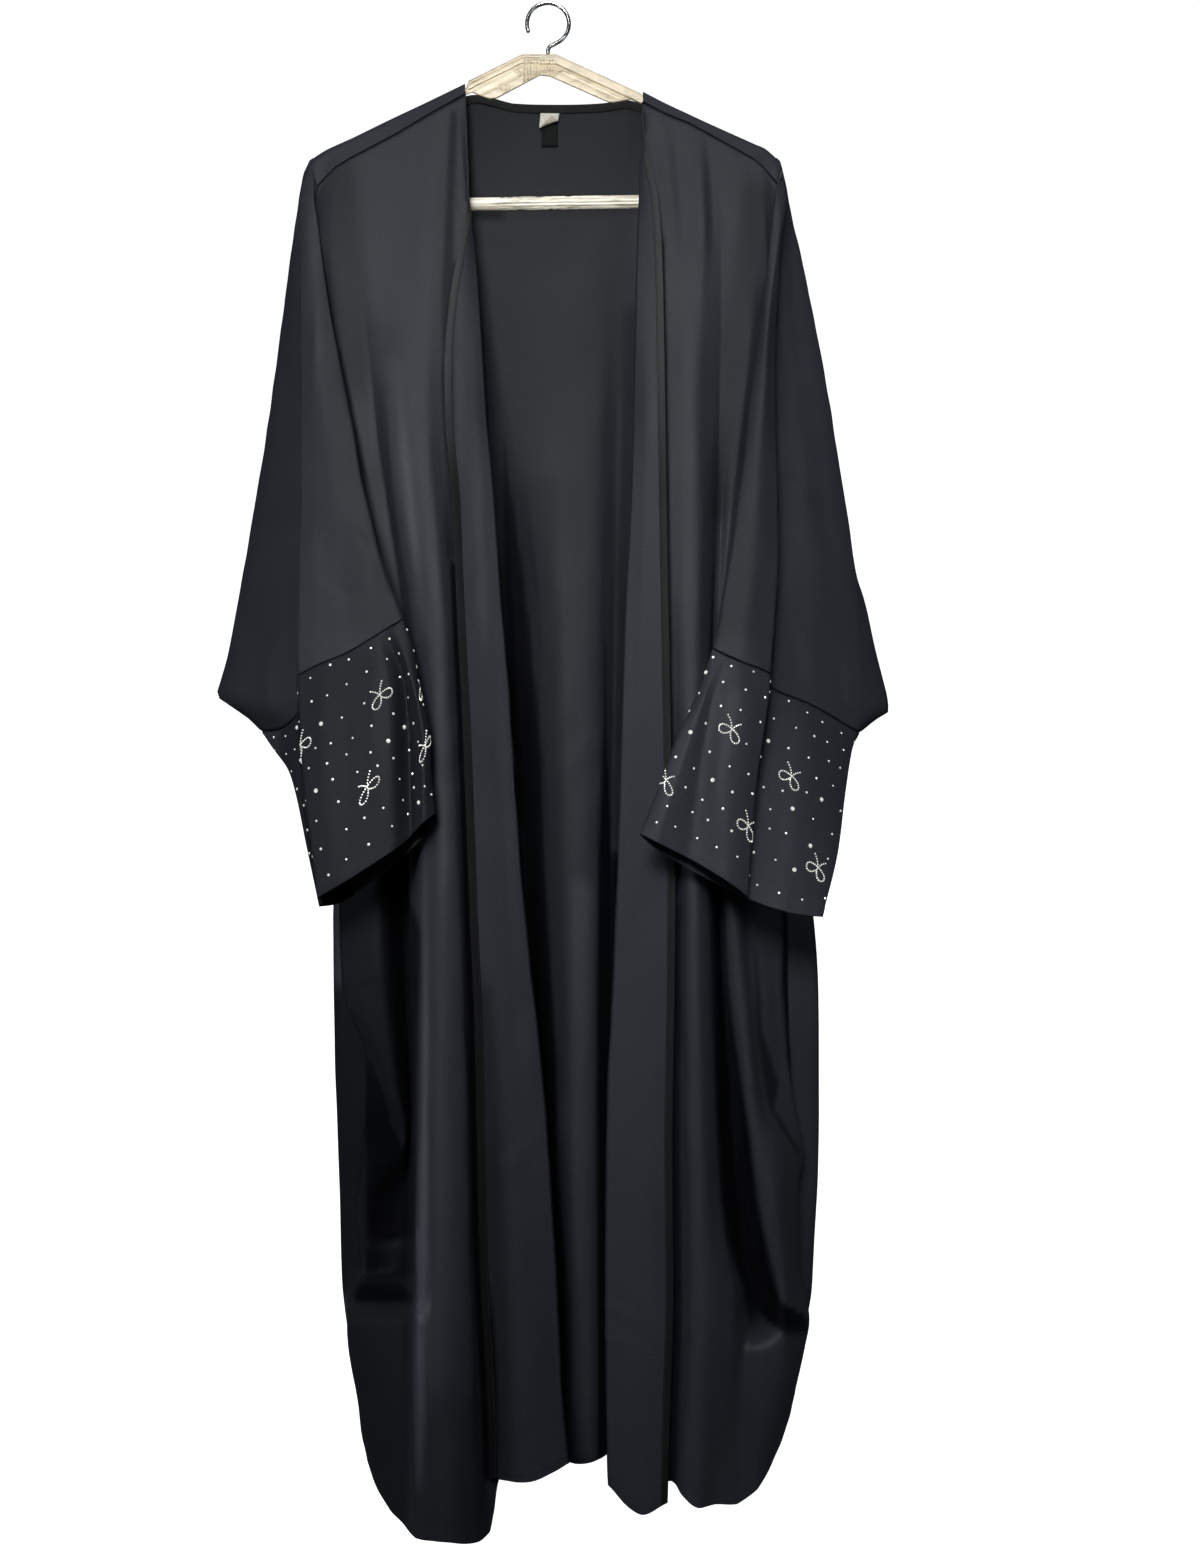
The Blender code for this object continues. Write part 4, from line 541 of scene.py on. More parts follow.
def cloth_material(name, colour, roughness=0.46, sheen=0.25, weave=0.10, tint=(0.35, 0.38, 0.48, 1), specular=0.5, anisotropic=0.35):
    """Black crepe satin: a fine crossed weave and crepe grain in bump, slow wear in tone, a soft sheen, and painted
    shade and painted highlights from the mesh's attributes.
    """
    material, tree, shader = new_material(name)
    coords = node(tree, "ShaderNodeUVMap", uv_map="cloth")
    scale = node(tree, "ShaderNodeMapping")
    scale.inputs["Scale"].default_value = (1000, 1000, 1)
    tree.links.new(coords.outputs["UV"], scale.inputs["Vector"])
    warp = node(tree, "ShaderNodeTexWave", wave_type="BANDS", bands_direction="X", Scale=0.62, Distortion=1.2, Detail=1.0)
    warp.inputs["Detail Scale"].default_value = 1.5
    weft = node(tree, "ShaderNodeTexWave", wave_type="BANDS", bands_direction="Y", Scale=0.5, Distortion=1.2, Detail=1.0)
    weft.inputs["Detail Scale"].default_value = 1.5
    crepe = node(tree, "ShaderNodeTexNoise", Scale=0.42, Detail=3.0, Roughness=0.7)
    for texture in (warp, weft, crepe):
        tree.links.new(scale.outputs["Vector"], texture.inputs["Vector"])
    crossed = node(tree, "ShaderNodeMath", operation="MULTIPLY")
    tree.links.new(warp.outputs["Fac"], crossed.inputs[0])
    tree.links.new(weft.outputs["Fac"], crossed.inputs[1])
    grain = node(tree, "ShaderNodeMath", operation="ADD")
    tree.links.new(crossed.outputs[0], grain.inputs[0])
    tree.links.new(crepe.outputs["Fac"], grain.inputs[1])
    bump = node(tree, "ShaderNodeBump", Strength=weave, Distance=0.0004)
    tree.links.new(grain.outputs[0], bump.inputs["Height"])
    tree.links.new(bump.outputs["Normal"], shader.inputs["Normal"])
    # slow tone change over the cloth, and the grain's own speckle
    broad = node(tree, "ShaderNodeTexNoise", Scale=0.012, Detail=2.0, Roughness=0.5)
    tree.links.new(scale.outputs["Vector"], broad.inputs["Vector"])
    speck = node(tree, "ShaderNodeMix", data_type="RGBA", blend_type="MIX")
    speck.inputs["A"].default_value = (*[c * 0.42 for c in colour], 1)
    speck.inputs["B"].default_value = (*[min(1, c * 1.62) for c in colour], 1)
    tree.links.new(crepe.outputs["Fac"], speck.inputs["Factor"])
    tone = node(tree, "ShaderNodeMix", data_type="RGBA", blend_type="MULTIPLY")
    tone.inputs["Factor"].default_value = 0.35
    tree.links.new(speck.outputs["Result"], tone.inputs["A"])
    ramp = node(tree, "ShaderNodeValToRGB")
    ramp.color_ramp.elements[0].position = 0.3
    ramp.color_ramp.elements[0].color = (0.7, 0.72, 0.8, 1)
    ramp.color_ramp.elements[1].position = 0.7
    ramp.color_ramp.elements[1].color = (1, 1, 1, 1)
    tree.links.new(broad.outputs["Fac"], ramp.inputs["Fac"])
    tree.links.new(ramp.outputs["Color"], tone.inputs["B"])
    # painted shade in folds and at seams, for the light that they would lose: the first only on the side that the folds
    # open to
    painted_fold_shade = node(tree, "ShaderNodeAttribute", attribute_name="painted_fold_shade")
    crack = node(tree, "ShaderNodeAttribute", attribute_name="crack")
    geometry = node(tree, "ShaderNodeNewGeometry")
    parts = node(tree, "ShaderNodeSeparateXYZ")
    tree.links.new(geometry.outputs["Normal"], parts.inputs["Vector"])
    toward = node(tree, "ShaderNodeMapRange")
    toward.inputs["From Min"].default_value = 0.15
    toward.inputs["From Max"].default_value = -0.15
    tree.links.new(parts.outputs["Y"], toward.inputs["Value"])
    faced = node(tree, "ShaderNodeMath", operation="MULTIPLY")
    tree.links.new(painted_fold_shade.outputs["Fac"], faced.inputs[0])
    tree.links.new(toward.outputs["Result"], faced.inputs[1])
    lost = node(tree, "ShaderNodeMath", operation="MAXIMUM")
    tree.links.new(faced.outputs[0], lost.inputs[0])
    tree.links.new(crack.outputs["Fac"], lost.inputs[1])
    kept = node(tree, "ShaderNodeMapRange")
    kept.inputs["To Min"].default_value = 1.0
    kept.inputs["To Max"].default_value = 0.12
    tree.links.new(lost.outputs[0], kept.inputs["Value"])
    lit = node(tree, "ShaderNodeAttribute", attribute_name="lit")  # painted highlight on crests where the satin shines
    toned = node(tree, "ShaderNodeMath", operation="ADD")
    tree.links.new(kept.outputs["Result"], toned.inputs[0])
    tree.links.new(lit.outputs["Fac"], toned.inputs[1])
    dimmed = node(tree, "ShaderNodeMix", data_type="RGBA", blend_type="MULTIPLY")
    dimmed.inputs["Factor"].default_value = 1.0
    tree.links.new(tone.outputs["Result"], dimmed.inputs["A"])
    tree.links.new(toned.outputs[0], dimmed.inputs["B"])
    tree.links.new(dimmed.outputs["Result"], shader.inputs["Base Color"])
    gloss = node(tree, "ShaderNodeMath", operation="MULTIPLY")
    gloss.inputs[1].default_value = specular
    tree.links.new(toned.outputs[0], gloss.inputs[0])
    tree.links.new(gloss.outputs[0], shader.inputs["Specular IOR Level"])
    rough = node(tree, "ShaderNodeMapRange")
    rough.inputs["From Min"].default_value = 0.3
    rough.inputs["From Max"].default_value = 0.7
    rough.inputs["To Min"].default_value = roughness - 0.05
    rough.inputs["To Max"].default_value = roughness + 0.06
    tree.links.new(broad.outputs["Fac"], rough.inputs["Value"])
    tree.links.new(rough.outputs["Result"], shader.inputs["Roughness"])
    shader.inputs["Sheen Weight"].default_value = sheen
    shader.inputs["Sheen Roughness"].default_value = 0.5
    shader.inputs["Sheen Tint"].default_value = tint
    shader.inputs["Anisotropic"].default_value = anisotropic
    return material


# ------------------------------------------------------------ panels' grids
def levels_between(start, stop, step):
    return list(np.linspace(start, stop, max(2, int(round(abs(stop - start) / step)) + 1)))[:-1]


def front_grid(name, table, seam, sharp):
    levels = [187, 188, 189, 190.2, 191.5, 193, 195, 198, 201.5, 205, 210]
    levels += levels_between(215, 1330, 5.0) + levels_between(1330, 1489, 5.0) + [1489, 1491, 1493, 1495, 1496.5, 1498, 1499, 1500]
    folds = []
    for points in table.values():
        first = points[0]
        points = ((float(np.interp(first[1], *np.transpose(seam))) + SEAM_GAP / 2 + 0.15, first[1], first[2]), *points[1:])
        folds.append(fold_line(points, levels, (215, 1330), (187, 1500)))
    folds = np.stack(folds, axis=1)
    counts = counts_for(folds)
    rows = sections(folds, counts, sharp=sharp)
    rows[0, :, 0] = np.interp(rows[0, :, 1], *np.transpose(seam)) + SEAM_GAP / 2 + 0.15
    rows[0, :, 2] = -12.0
    made = Sheet(name, rows)
    made.counts = counts
    return made


def over_shoulder(ridge, seam, across):
    top = float(np.interp(across, *np.transpose(ridge)))
    seam_drop = float(np.interp(across, *np.transpose(seam))) - SEAM_GAP / 2 - 0.15
    behind = 9.0 if across in (465, 643) else 16.0
    return [
        (seam_drop, across, -12.0),
        (0.5 * (seam_drop + top) + 0.8, across, -7.2),
        (top + 0.7, across, -2.0),
        (seen_at(top + 3.6, 6.0), across, 6.0),
        (seen_at(top + behind, 11.0), across, 11.0),
    ]


def down_spline(points, counts):
    """Centripetal Catmull-Rom down one column's first points, ending before the last."""
    return sections(np.asarray(points, float)[None], counts)[0][:-1]


def back_grid():
    hung = {}
    for name, points in BACK.items():
        _, across, depth = points[-1]
        hem = points[-1][0] if name.startswith("seam") else seen_at(float(np.interp(across, *np.transpose(BACK_HEM))), depth)
        hung[name] = (*points[:-1], (hem, across, depth))
    left = [317, 325, 335, 350, 370, 395, 430, 465]
    neck = [480, 512, 548, 584, 605, 625]
    right = [643, 665, 690, 710, 740, 755, 765, 778]
    tops = [over_shoulder(RIDGE_LEFT, SEAM_LEFT, x) for x in left]
    tops += [[(float(np.interp(x, *np.transpose(NECKLINE))), x, 10.0)] * 5 for x in neck]
    tops += [over_shoulder(RIDGE_RIGHT, SEAM_RIGHT, x) for x in right]
    for edge, ridge, shift, slant in ((tops[0], RIDGE_LEFT[0], 1.0, 2.4), (tops[-1], RIDGE_RIGHT[-1], -1.0, 0.5)):
        x = ridge[0] + 0.3 * shift
        edge[1] = (ridge[1] + 7.5, x + slant * shift, -8.6)
        edge[2] = (ridge[1] + 0.4, x, 0.0)
        edge[3] = (ridge[1] + 7.5, x + slant * shift, 8.6)
        edge[4] = (ridge[1] + 19, x + (slant + 2) * shift, 10.4)
    levels = levels_between(187, 240, 5.0) + levels_between(240, 1310, 5.2) + levels_between(1310, 1489, 5.2)
    levels += [1489, 1491, 1493, 1495, 1496.5, 1498, 1499, 1500]
    over = (3, 4, 4, 4, 10)  # pieces between the first five rows, and down to the hung cloth
    columns = []
    for top, points in zip(tops, hung.values()):
        if top[4][0] <= 160:
            points = ((max(points[0][0] - 40, top[4][0] + 12), points[0][1], 11.0), *points)
        hanging = fold_line(points, levels, (240, 1310), (187, 1500))
        start = down_spline([*top, hanging[0], hanging[3]], [*over, 1]) if top[0][0] != top[4][0] else None
        if start is None:
            still = np.repeat([top[4]], sum(over[:4]), axis=0)
            start = np.vstack([still, down_spline([top[4], hanging[0], hanging[3]], [over[4], 1])])
        start = start[: sum(over)]
        columns.append(np.vstack([start, hanging]))
    folds = np.stack(columns, axis=1)
    crown = sum(over[:4])  # rows above the neckline
    counts = counts_for(folds[crown:], spacing=5.0)
    sharp = pressed(BACK, dark_left=0.6, ridge_a=0.7, ridge_d=0.7, dark_right=0.6, side_left=0.4, side_right=0.4)
    rows = sections(folds, counts, sharp=sharp)
    first = np.concatenate([[0], np.cumsum(counts)])
    for a, b in ((0, 7), (14, 21)):
        part = sections(folds[:crown, a : b + 1], counts[a:b])
        rows[:crown, first[a] : first[b] + 1] = part
    for a, b, seam in ((0, 7, SEAM_LEFT), (14, 21, SEAM_RIGHT)):
        span = slice(first[a] + 1, first[b] + 1) if a == 0 else slice(first[a], first[b])
        rows[0, span, 0] = np.interp(rows[0, span, 1], *np.transpose(seam)) - SEAM_GAP / 2 - 0.15
    # more rows beside the shoulder seam, for its groove
    finer = [rows[0] + (rows[1] - rows[0]) * share for share in (0.0, 0.1, 0.22, 0.36, 0.6)]
    rows = np.concatenate([np.stack(finer), rows[1:]])
    crown += 4
    sheet = Sheet("back_cloth", rows)
    sheet.notch = (crown, first[7], first[14])
    sheet.first = first
    sheet.crown = crown
    return sheet


def shoulder_tip(turn, front, back, reach):
    tip_drop, tip_across = reach
    bend = math.sin(math.pi * turn)
    drop = front[0] + (back[0] - front[0]) * turn - (front[0] - tip_drop) * bend**0.9
    across = front[1] + (tip_across - front[1]) * bend
    return (drop, across, -11.0 * math.cos(math.pi * turn))


def sleeve_grid(name, table, front, back, reach, sharp):
    levels = levels_between(190, 260, 4.0) + levels_between(260, 500, 4.6) + levels_between(500, 632, 4.0) + [632, 634, 636, 637.5, 638.7, 640]
    folds = [
        fold_line((shoulder_tip(points[0], front, back, reach), *points[1:]), levels, (260, 500), (190, 640))
        for points in table.values()
    ]
    folds = np.stack(folds, axis=1)
    return Sheet(name, sections(folds, counts_for(folds, spacing=4.2), sharp=sharp))


def cuff_grid(name, table, sharp):
    shares = [0, 0.006, 0.014, 0.024] + list(np.linspace(0.04, 0.95, 48)) + [0.96, 0.97, 0.98, 0.987, 0.994, 1.0]
    folds = []
    for points in table.values():
        top, bottom = points[0][0] + 1.0, points[-1][0]
        drop = top + (bottom - top) * np.asarray(shares)
        folds.append(np.column_stack([drop, along(points, drop)]))
    folds = np.stack(folds, axis=1)
    return Sheet(name, sections(folds, counts_for(folds, closed=True, spacing=3.6), closed=True, sharp=sharp), closed=True)


left_front = front_grid(
    "front_left_cloth", FRONT_LEFT, SEAM_LEFT,
    pressed(FRONT_LEFT, rim=0.6, face=0.3, pit=0.3, lobe_left=0.6, lobe_right=0.5, under=0.4, fold=0.8),
)
right_front = front_grid(
    "front_right_cloth", FRONT_RIGHT, SEAM_RIGHT,
    pressed(FRONT_RIGHT, rim=0.6, tuck=0.3, second_left=0.5, valley=0.5, first_right=0.5, first_left=0.4, under=0.3, fold=0.8),
)
back = back_grid()
left_sleeve = sleeve_grid("sleeve_left_cloth", SLEEVE_LEFT, (187, 316.0), (187, 316.2), (161.2, 309.0), pressed(SLEEVE_LEFT, fold=0.7, ridge=0.9, behind=0.3, side=0.5))
right_sleeve = sleeve_grid("sleeve_right_cloth", SLEEVE_RIGHT, (184, 779.0), (184, 779.0), (161.4, 780.2), pressed(SLEEVE_RIGHT, fold=0.7, ridge=0.9, side=0.5, flap=0.6))
left_cuff = cuff_grid("cuff_left_cloth", CUFF_LEFT, pressed(CUFF_LEFT, ridge=0.9, inner=0.4, lobe=0.5, pit=0.5, side=0.5))
right_cuff = cuff_grid("cuff_right_cloth", CUFF_RIGHT, pressed(CUFF_RIGHT, ridge=0.9, inner=0.4, lobe=0.5, trough=0.3, side=0.4, flap=0.6))


# --------------------------------------------------------------------- creases
def hem(panel, edges, width=9.0, rise=0.35):
    """A turned and stitched hem: a slightly thicker band with a dimpled stitch line along it."""
    for edge in edges:
        axis = 0 if edge in ("top", "bottom") else 1
        far = arc_lengths(panel.base, axis) * 1000
        if edge in ("bottom", "last"):
            far = (far[-1:] if axis == 0 else far[:, -1:]) - far
        along_edge = arc_lengths(panel.base, 1 - axis) * 1000
        band = rise / (1 + np.exp(np.clip((far - width) * 1.6, -50, 50)))
        line = -0.45 * np.exp(-(((far - width + 1.2) / 1.1) ** 2)) * (0.75 + 0.25 * np.sin(2 * math.pi * along_edge / 6.5))
        pucker = 0.22 * np.exp(-((far / (width * 1.3)) ** 2)) * np.sin(2 * math.pi * along_edge / 23 + 1.3 * np.sin(along_edge / 37))
        panel.push(panel.facing * (band + line) + pucker)


def seam(panel, edge, amount=0.9, reach=2.2, pucker=0.18):
    """The cloth rolls in at a seam, with fine uneven puckers beside it."""
    axis = 0 if edge in ("top", "bottom") else 1
    far = arc_lengths(panel.base, axis) * 1000
    if edge in ("bottom", "last"):
        far = (far[-1:] if axis == 0 else far[:, -1:]) - far
    along_edge = arc_lengths(panel.base, 1 - axis) * 1000
    dip = -amount * np.exp(-((far / reach) ** 2))
    ripple = pucker * np.exp(-(((far - 5) / 6) ** 2)) * np.sin(2 * math.pi * along_edge / 11 + 2 * np.sin(along_edge / 29))
    panel.push(panel.facing * (dip + ripple))


# facing: the side of each grid's normals that looks out of the garment
left_front.facing = -1.0
right_front.facing = 1.0
back.facing = 1.0
left_sleeve.facing = right_sleeve.facing = left_cuff.facing = right_cuff.facing = 1.0
for panel in (left_sleeve, right_sleeve, left_cuff, right_cuff):
    normal = panel.normals()
    centre = panel.base.mean(axis=(0, 1))
    outward = ((panel.base - centre) * normal)[..., 1].mean()
    panel.facing = 1.0 if outward > 0 else -1.0

# front left: (start, end, width, height) in elevation mm; a negative height is a ridge towards the viewer
LEFT_CREASES = (
    ((352, 385), (350, 409), 2.6, -0.9),
    ((356, 384), (356, 404), 3.0, 0.7),
    ((360, 392), (640, 418), 7.0, -1.1),
    ((390, 404), (610, 424), 5.0, 0.9),
    ((250, 352), (420, 374), 9.0, 1.2),
    ((150, 402), (330, 408), 12.0, 0.8),
    ((130, 436), (300, 430), 9.0, -0.8),
    ((985, 340), (981, 360), 3.5, -1.4),
    ((981, 360), (972, 396), 3.5, -1.6),
    ((991, 345), (983, 380), 4.0, 1.4),
    ((1010, 366), (1060, 380), 5.0, -1.2),
    ((1238, 365), (1228, 414), 4.0, -1.6),
    ((1246, 368), (1238, 405), 4.5, 1.4),
    ((1298, 356), (1290, 398), 4.0, -1.2),
    ((850, 427), (1130, 424), 5.0, -1.3),
    ((1090, 428), (1270, 430), 5.0, 0.9),
    ((1200, 421), (1400, 424), 4.0, -1.3),
    ((1225, 429), (1395, 431), 4.0, 1.0),
    ((1330, 437), (1470, 434), 6.0, -0.9),
    ((880, 452), (1250, 462), 9.0, 0.9),
    ((1380, 372), (1480, 380), 8.0, 1.4),
    ((1400, 455), (1520, 462), 9.0, -1.1),
    ((820, 427), (1290, 421), 2.6, -2.2),
    ((1225, 418), (1425, 423), 1.9, -1.8),
    ((1240, 426), (1440, 430), 1.9, -1.6),
    ((1311, 412), (1326, 424), 3.0, -2.4),
    ((1327, 426), (1327, 474), 1.3, -0.6),
)
RIGHT_CREASES = (
    ((198, 660), (221, 678), 2.6, -0.9),
    ((203, 656), (226, 674), 3.0, 0.7),
    ((135, 700), (240, 706), 3.5, -0.8),
    ((140, 708), (250, 714), 4.0, 0.6),
    ((105, 656), (200, 672), 6.0, -0.7),
    ((120, 672), (240, 684), 5.0, 0.6),
    ((300, 690), (600, 694), 11.0, -1.0),
    ((440, 722), (610, 716), 7.0, 1.3),
    ((420, 704), (640, 703), 6.0, -0.9),
    ((880, 746), (1120, 760), 5.0, -1.2),
    ((900, 756), (1090, 770), 4.5, 1.2),
    ((1080, 752), (1100, 792), 4.5, -1.5),
    ((1092, 750), (1112, 790), 4.5, 1.3),
    ((1120, 790), (1160, 804), 4.0, -1.4),
    ((1185, 797), (1262, 799), 3.5, -1.3),
    ((1180, 785), (1300, 790), 6.0, 1.1),
    ((860, 686), (1200, 688), 8.0, -1.0),
    ((1000, 696), (1350, 700), 9.0, 0.9),
    ((1350, 690), (1490, 684), 8.0, -1.1),
    ((1380, 760), (1480, 752), 9.0, 1.2),
    ((915, 756), (1085, 768), 9.0, -9.0),
    ((1090, 775), (1240, 778), 12.0, -4.0),
)
for creases, panel in ((LEFT_CREASES, left_front), (RIGHT_CREASES, right_front)):
    for start, end, width, height in creases:
        panel.crease(start, end, width, height)

# lapels of the fronts: slow waves down the turned-back cloth
for panel, creases in (
    (left_front, (((330, 474), (700, 492), 6.0, -0.7), ((620, 490), (1100, 522), 7.0, 0.8), ((1000, 505), (1420, 532), 9.0, -0.9), ((1250, 545), (1440, 556), 7.0, 0.8))),
    (right_front, (((330, 648), (700, 640), 6.0, -0.7), ((620, 634), (1100, 624), 7.0, 0.8), ((1000, 652), (1420, 650), 9.0, -0.9), ((1250, 620), (1440, 622), 7.0, 0.8))),
):
    for start, end, width, height in creases:
        panel.crease(start, end, width, height)

SLEEVE_LEFT_CREASES = (
    ((290, 318), (402, 312), 5.0, -0.9),
    ((300, 326), (420, 330), 6.0, 0.7),
    ((524, 362), (541, 372), 2.8, -1.1),
    ((532, 356), (548, 368), 3.0, 0.8),
    ((558, 378), (592, 385), 3.0, -1.2),
    ((560, 370), (600, 376), 4.0, 0.9),
    ((430, 330), (560, 342), 9.0, -0.9),
    ((520, 312), (640, 316), 8.0, -0.9),
    ((460, 282), (640, 262), 10.0, 1.0),
    ((600, 290), (680, 268), 6.0, -1.0),
    ((640, 246), (700, 254), 5.0, 1.1),
    ((655, 262), (712, 272), 4.5, -1.0),
)
SLEEVE_RIGHT_CREASES = (
    ((358, 770), (424, 763), 4.0, -0.8),
    ((300, 778), (420, 790), 8.0, 0.8),
    ((420, 800), (600, 820), 10.0, -1.0),
    ((480, 762), (640, 752), 8.0, -0.9),
    ((520, 745), (640, 730), 5.0, 0.9),
    ((600, 730), (648, 722), 3.0, -1.0),
    ((560, 834), (700, 842), 8.0, 1.0),
    ((620, 800), (705, 822), 6.0, -1.1),
    ((660, 838), (724, 850), 4.5, 1.0),
    ((640, 848), (700, 872), 5.0, -0.9),
)
CUFF_LEFT_CREASES = (
    ((716, 256), (728, 270), 2.6, -0.9),
    ((660, 320), (860, 326), 8.0, -0.9),
    ((690, 345), (870, 350), 9.0, 0.8),
    ((660, 372), (830, 378), 6.0, -0.9),
    ((700, 400), (820, 402), 5.0, 1.0),
    ((730, 300), (880, 312), 5.0, 0.9),
    ((800, 330), (895, 340), 7.0, -0.8),
)
CUFF_RIGHT_CREASES = (
    ((680, 700), (696, 705), 2.6, -1.0),
    ((700, 712), (850, 690), 8.0, 1.2),
    ((690, 728), (860, 708), 7.0, -0.9),
    ((700, 752), (880, 740), 9.0, -0.8),
    ((710, 790), (890, 776), 9.0, 0.8),
    ((720, 820), (900, 804), 7.0, -0.8),
    ((790, 668), (840, 652), 5.0, -0.8),
)
for creases, panel in (
    (SLEEVE_LEFT_CREASES, left_sleeve), (SLEEVE_RIGHT_CREASES, right_sleeve),
    (CUFF_LEFT_CREASES, left_cuff), (CUFF_RIGHT_CREASES, right_cuff),
):
    for start, end, width, height in creases:
        panel.crease(start, end, width, height)
        # a softer one like it on the side that the viewer doesn't see
        panel.crease(start, end, width * 1.5, -0.6 * height, front=(">", float(np.median(panel.depth()))))

BACK_CREASES = (
    ((250, 512), (700, 528), 12.0, 1.0),
    ((260, 618), (700, 612), 12.0, 1.0),
    ((300, 548), (900, 566), 14.0, -0.9),
    ((420, 590), (1000, 590), 9.0, -0.8),
    ((700, 520), (1300, 545), 10.0, 1.1),
    ((760, 604), (1350, 604), 10.0, 1.0),
    ((900, 572), (1440, 580), 9.0, -0.8),
    ((210, 478), (222, 500), 5.0, 0.5),
    ((260, 380), (700, 400), 14.0, -1.4),
    ((300, 700), (760, 690), 14.0, -1.4),
    ((700, 430), (1300, 450), 15.0, 1.4),
    ((700, 660), (1300, 676), 15.0, 1.4),
    ((880, 370), (1360, 384), 12.0, -1.5),
    ((880, 770), (1360, 760), 12.0, -1.5),
    ((176, 420), (230, 700), 9.0, -0.8),
    ((190, 380), (260, 520), 9.0, 0.7),
    ((186, 720), (262, 590), 9.0, 0.7),
)
for start, end, width, height in BACK_CREASES:
    back.crease(start, end, width, height)

for panel, name in ((left_front, "L"), (right_front, "R")):
    seam(panel, "top", amount=1.0, reach=1.0, pucker=0.08)
    seam(panel, "first", amount=0.5, reach=1.4)
    hem(panel, ("bottom",))
for edge in ("first", "last"):
    seam(back, edge, amount=0.5, reach=1.4)
hem(back, ("bottom",))
for panel in (left_sleeve, right_sleeve):
    for edge in ("top", "bottom", "first", "last"):
        seam(panel, edge, amount=0.35, reach=1.0, pucker=0.12)
for panel in (left_cuff, right_cuff):
    seam(panel, "top", amount=0.35, reach=1.0, pucker=0.12)
    hem(panel, ("bottom",), width=12.0, rise=0.3)
# the back's own front edge on each shoulder rolls under the seam
far = arc_lengths(back.base, 0) * 1000
roll = -1.0 * np.exp(-((far / 1.0) ** 2))
mask = np.zeros(back.columns(), bool)
mask[: back.first[7] + 1] = True
mask[back.first[14] :] = True
back.push(back.facing * np.where(mask[None, :], roll, 0.0))


# ------------------------------------------------------------ hanging ripples
for panel in (left_front, right_front):
    ripples(panel, 0.5, 42, 330, 3 if panel is left_front else 4, fade_top=90)
ripples(back, 0.8, 50, 420, 5, fade_top=90)
for panel in (left_sleeve, right_sleeve):
    ripples(panel, 0.5, 40, 160, 6, fade_top=60)


# -------------------------------------------------- seam allowances turned in
def turn_in(panel, edge, steps=((0.35, 0.25), (1.1, 0.35), (2.4, 0.30)), even=False, near_top=0.0):
    """Adds the allowance that a seam turns to the inside: steps of (mm inwards, mm past the edge)."""
    normal = normals_of(panel.world, panel.closed) * -panel.facing
    axis = 0 if edge in ("top", "bottom") else 1
    pick = 0 if edge in ("top", "first") else -1
    inner = 3 if edge in ("top", "first") else -4
    at = np.take(panel.world, pick, axis=axis)
    out = at - np.take(panel.world, inner, axis=axis)
    out /= np.maximum(np.linalg.norm(out, axis=-1, keepdims=True), 1e-9)
    n = np.take(normal, inner, axis=axis)
    run = np.cumsum(np.pad(np.linalg.norm(np.diff(at, axis=0), axis=1), (1, 0))) * 1000
    ease = np.clip(np.minimum(run, run[-1] - run) / 4.0, 0.05, 1)[:, None] if not (panel.closed or even) else 1.0
    if near_top:  # wider where the sleeve hangs away from the shoulder
        ease = ease * (1 + near_top * (CROWN_DROP - at[:, 2:] * 1000 < 225))
    extra = [at + n * deep / 1000 + out * past * ease / 1000 for deep, past in steps]
    seen = np.take(panel.seen, pick, axis=axis)
    if pick == 0:
        extra = extra[::-1]
    extra = np.stack(extra, axis=axis)
    seen = np.stack([seen] * len(steps), axis=axis)
    for name, more in (("world", extra), ("base", extra), ("seen", seen)):
        old = getattr(panel, name)
        parts = (more, old) if pick == 0 else (old, more)
        setattr(panel, name, np.concatenate(parts, axis=axis))
    return len(steps)


for panel in (left_front, right_front):
    turn_in(panel, "top")
    turn_in(panel, "first", ((0.35, 0.3), (1.1, 0.6), (2.4, 0.9)), near_top=2.5)
rows_added = turn_in(back, "top")
columns_added = turn_in(back, "first")
turn_in(back, "last")
back.notch = (back.notch[0] + rows_added, back.notch[1] + columns_added, back.notch[2] + columns_added)
back.first = back.first + columns_added
for panel in (left_sleeve, right_sleeve):
    deep = ((0.35, 0.9), (1.4, 2.6), (2.4, 4.4))
    turn_in(panel, "top", deep, True)
    turn_in(panel, "bottom", ((0.35, 0.2), (1.1, 0.3), (2.4, 0.3)))
    turn_in(panel, "first", deep, True)
    turn_in(panel, "last", deep, True)
for panel in (left_cuff, right_cuff):
    turn_in(panel, "top", ((0.35, 0.2), (1.1, 0.3), (2.4, 0.3)))


# ------------------------------------------------------------ meshes from grids
def mesh_piece(name, vertices, faces, material, uv=None, smooth=True):
    mesh = bpy.data.meshes.new(name)
    mesh.from_pydata([tuple(map(float, v)) for v in vertices], [], [tuple(int(i) for i in f) for f in faces])
    if uv is not None:
        layer = mesh.uv_layers.new(name="cloth")
        index = np.empty(len(mesh.loops), np.int32)
        mesh.loops.foreach_get("vertex_index", index)
        layer.data.foreach_set("uv", np.asarray(uv, np.float32)[index].ravel())
    mesh.materials.append(material)
    if smooth:
        mesh.shade_smooth()
    item = bpy.data.objects.new(name, mesh)
    bpy.context.scene.collection.objects.link(item)
    return item


def shaded(item, values):
    """Gives a piece the same attribute of painted shade as the cloth panels have."""
    item.data.attributes.new("crack", "FLOAT", "POINT").data.foreach_set("value", np.asarray(values, np.float32).ravel())
    return item


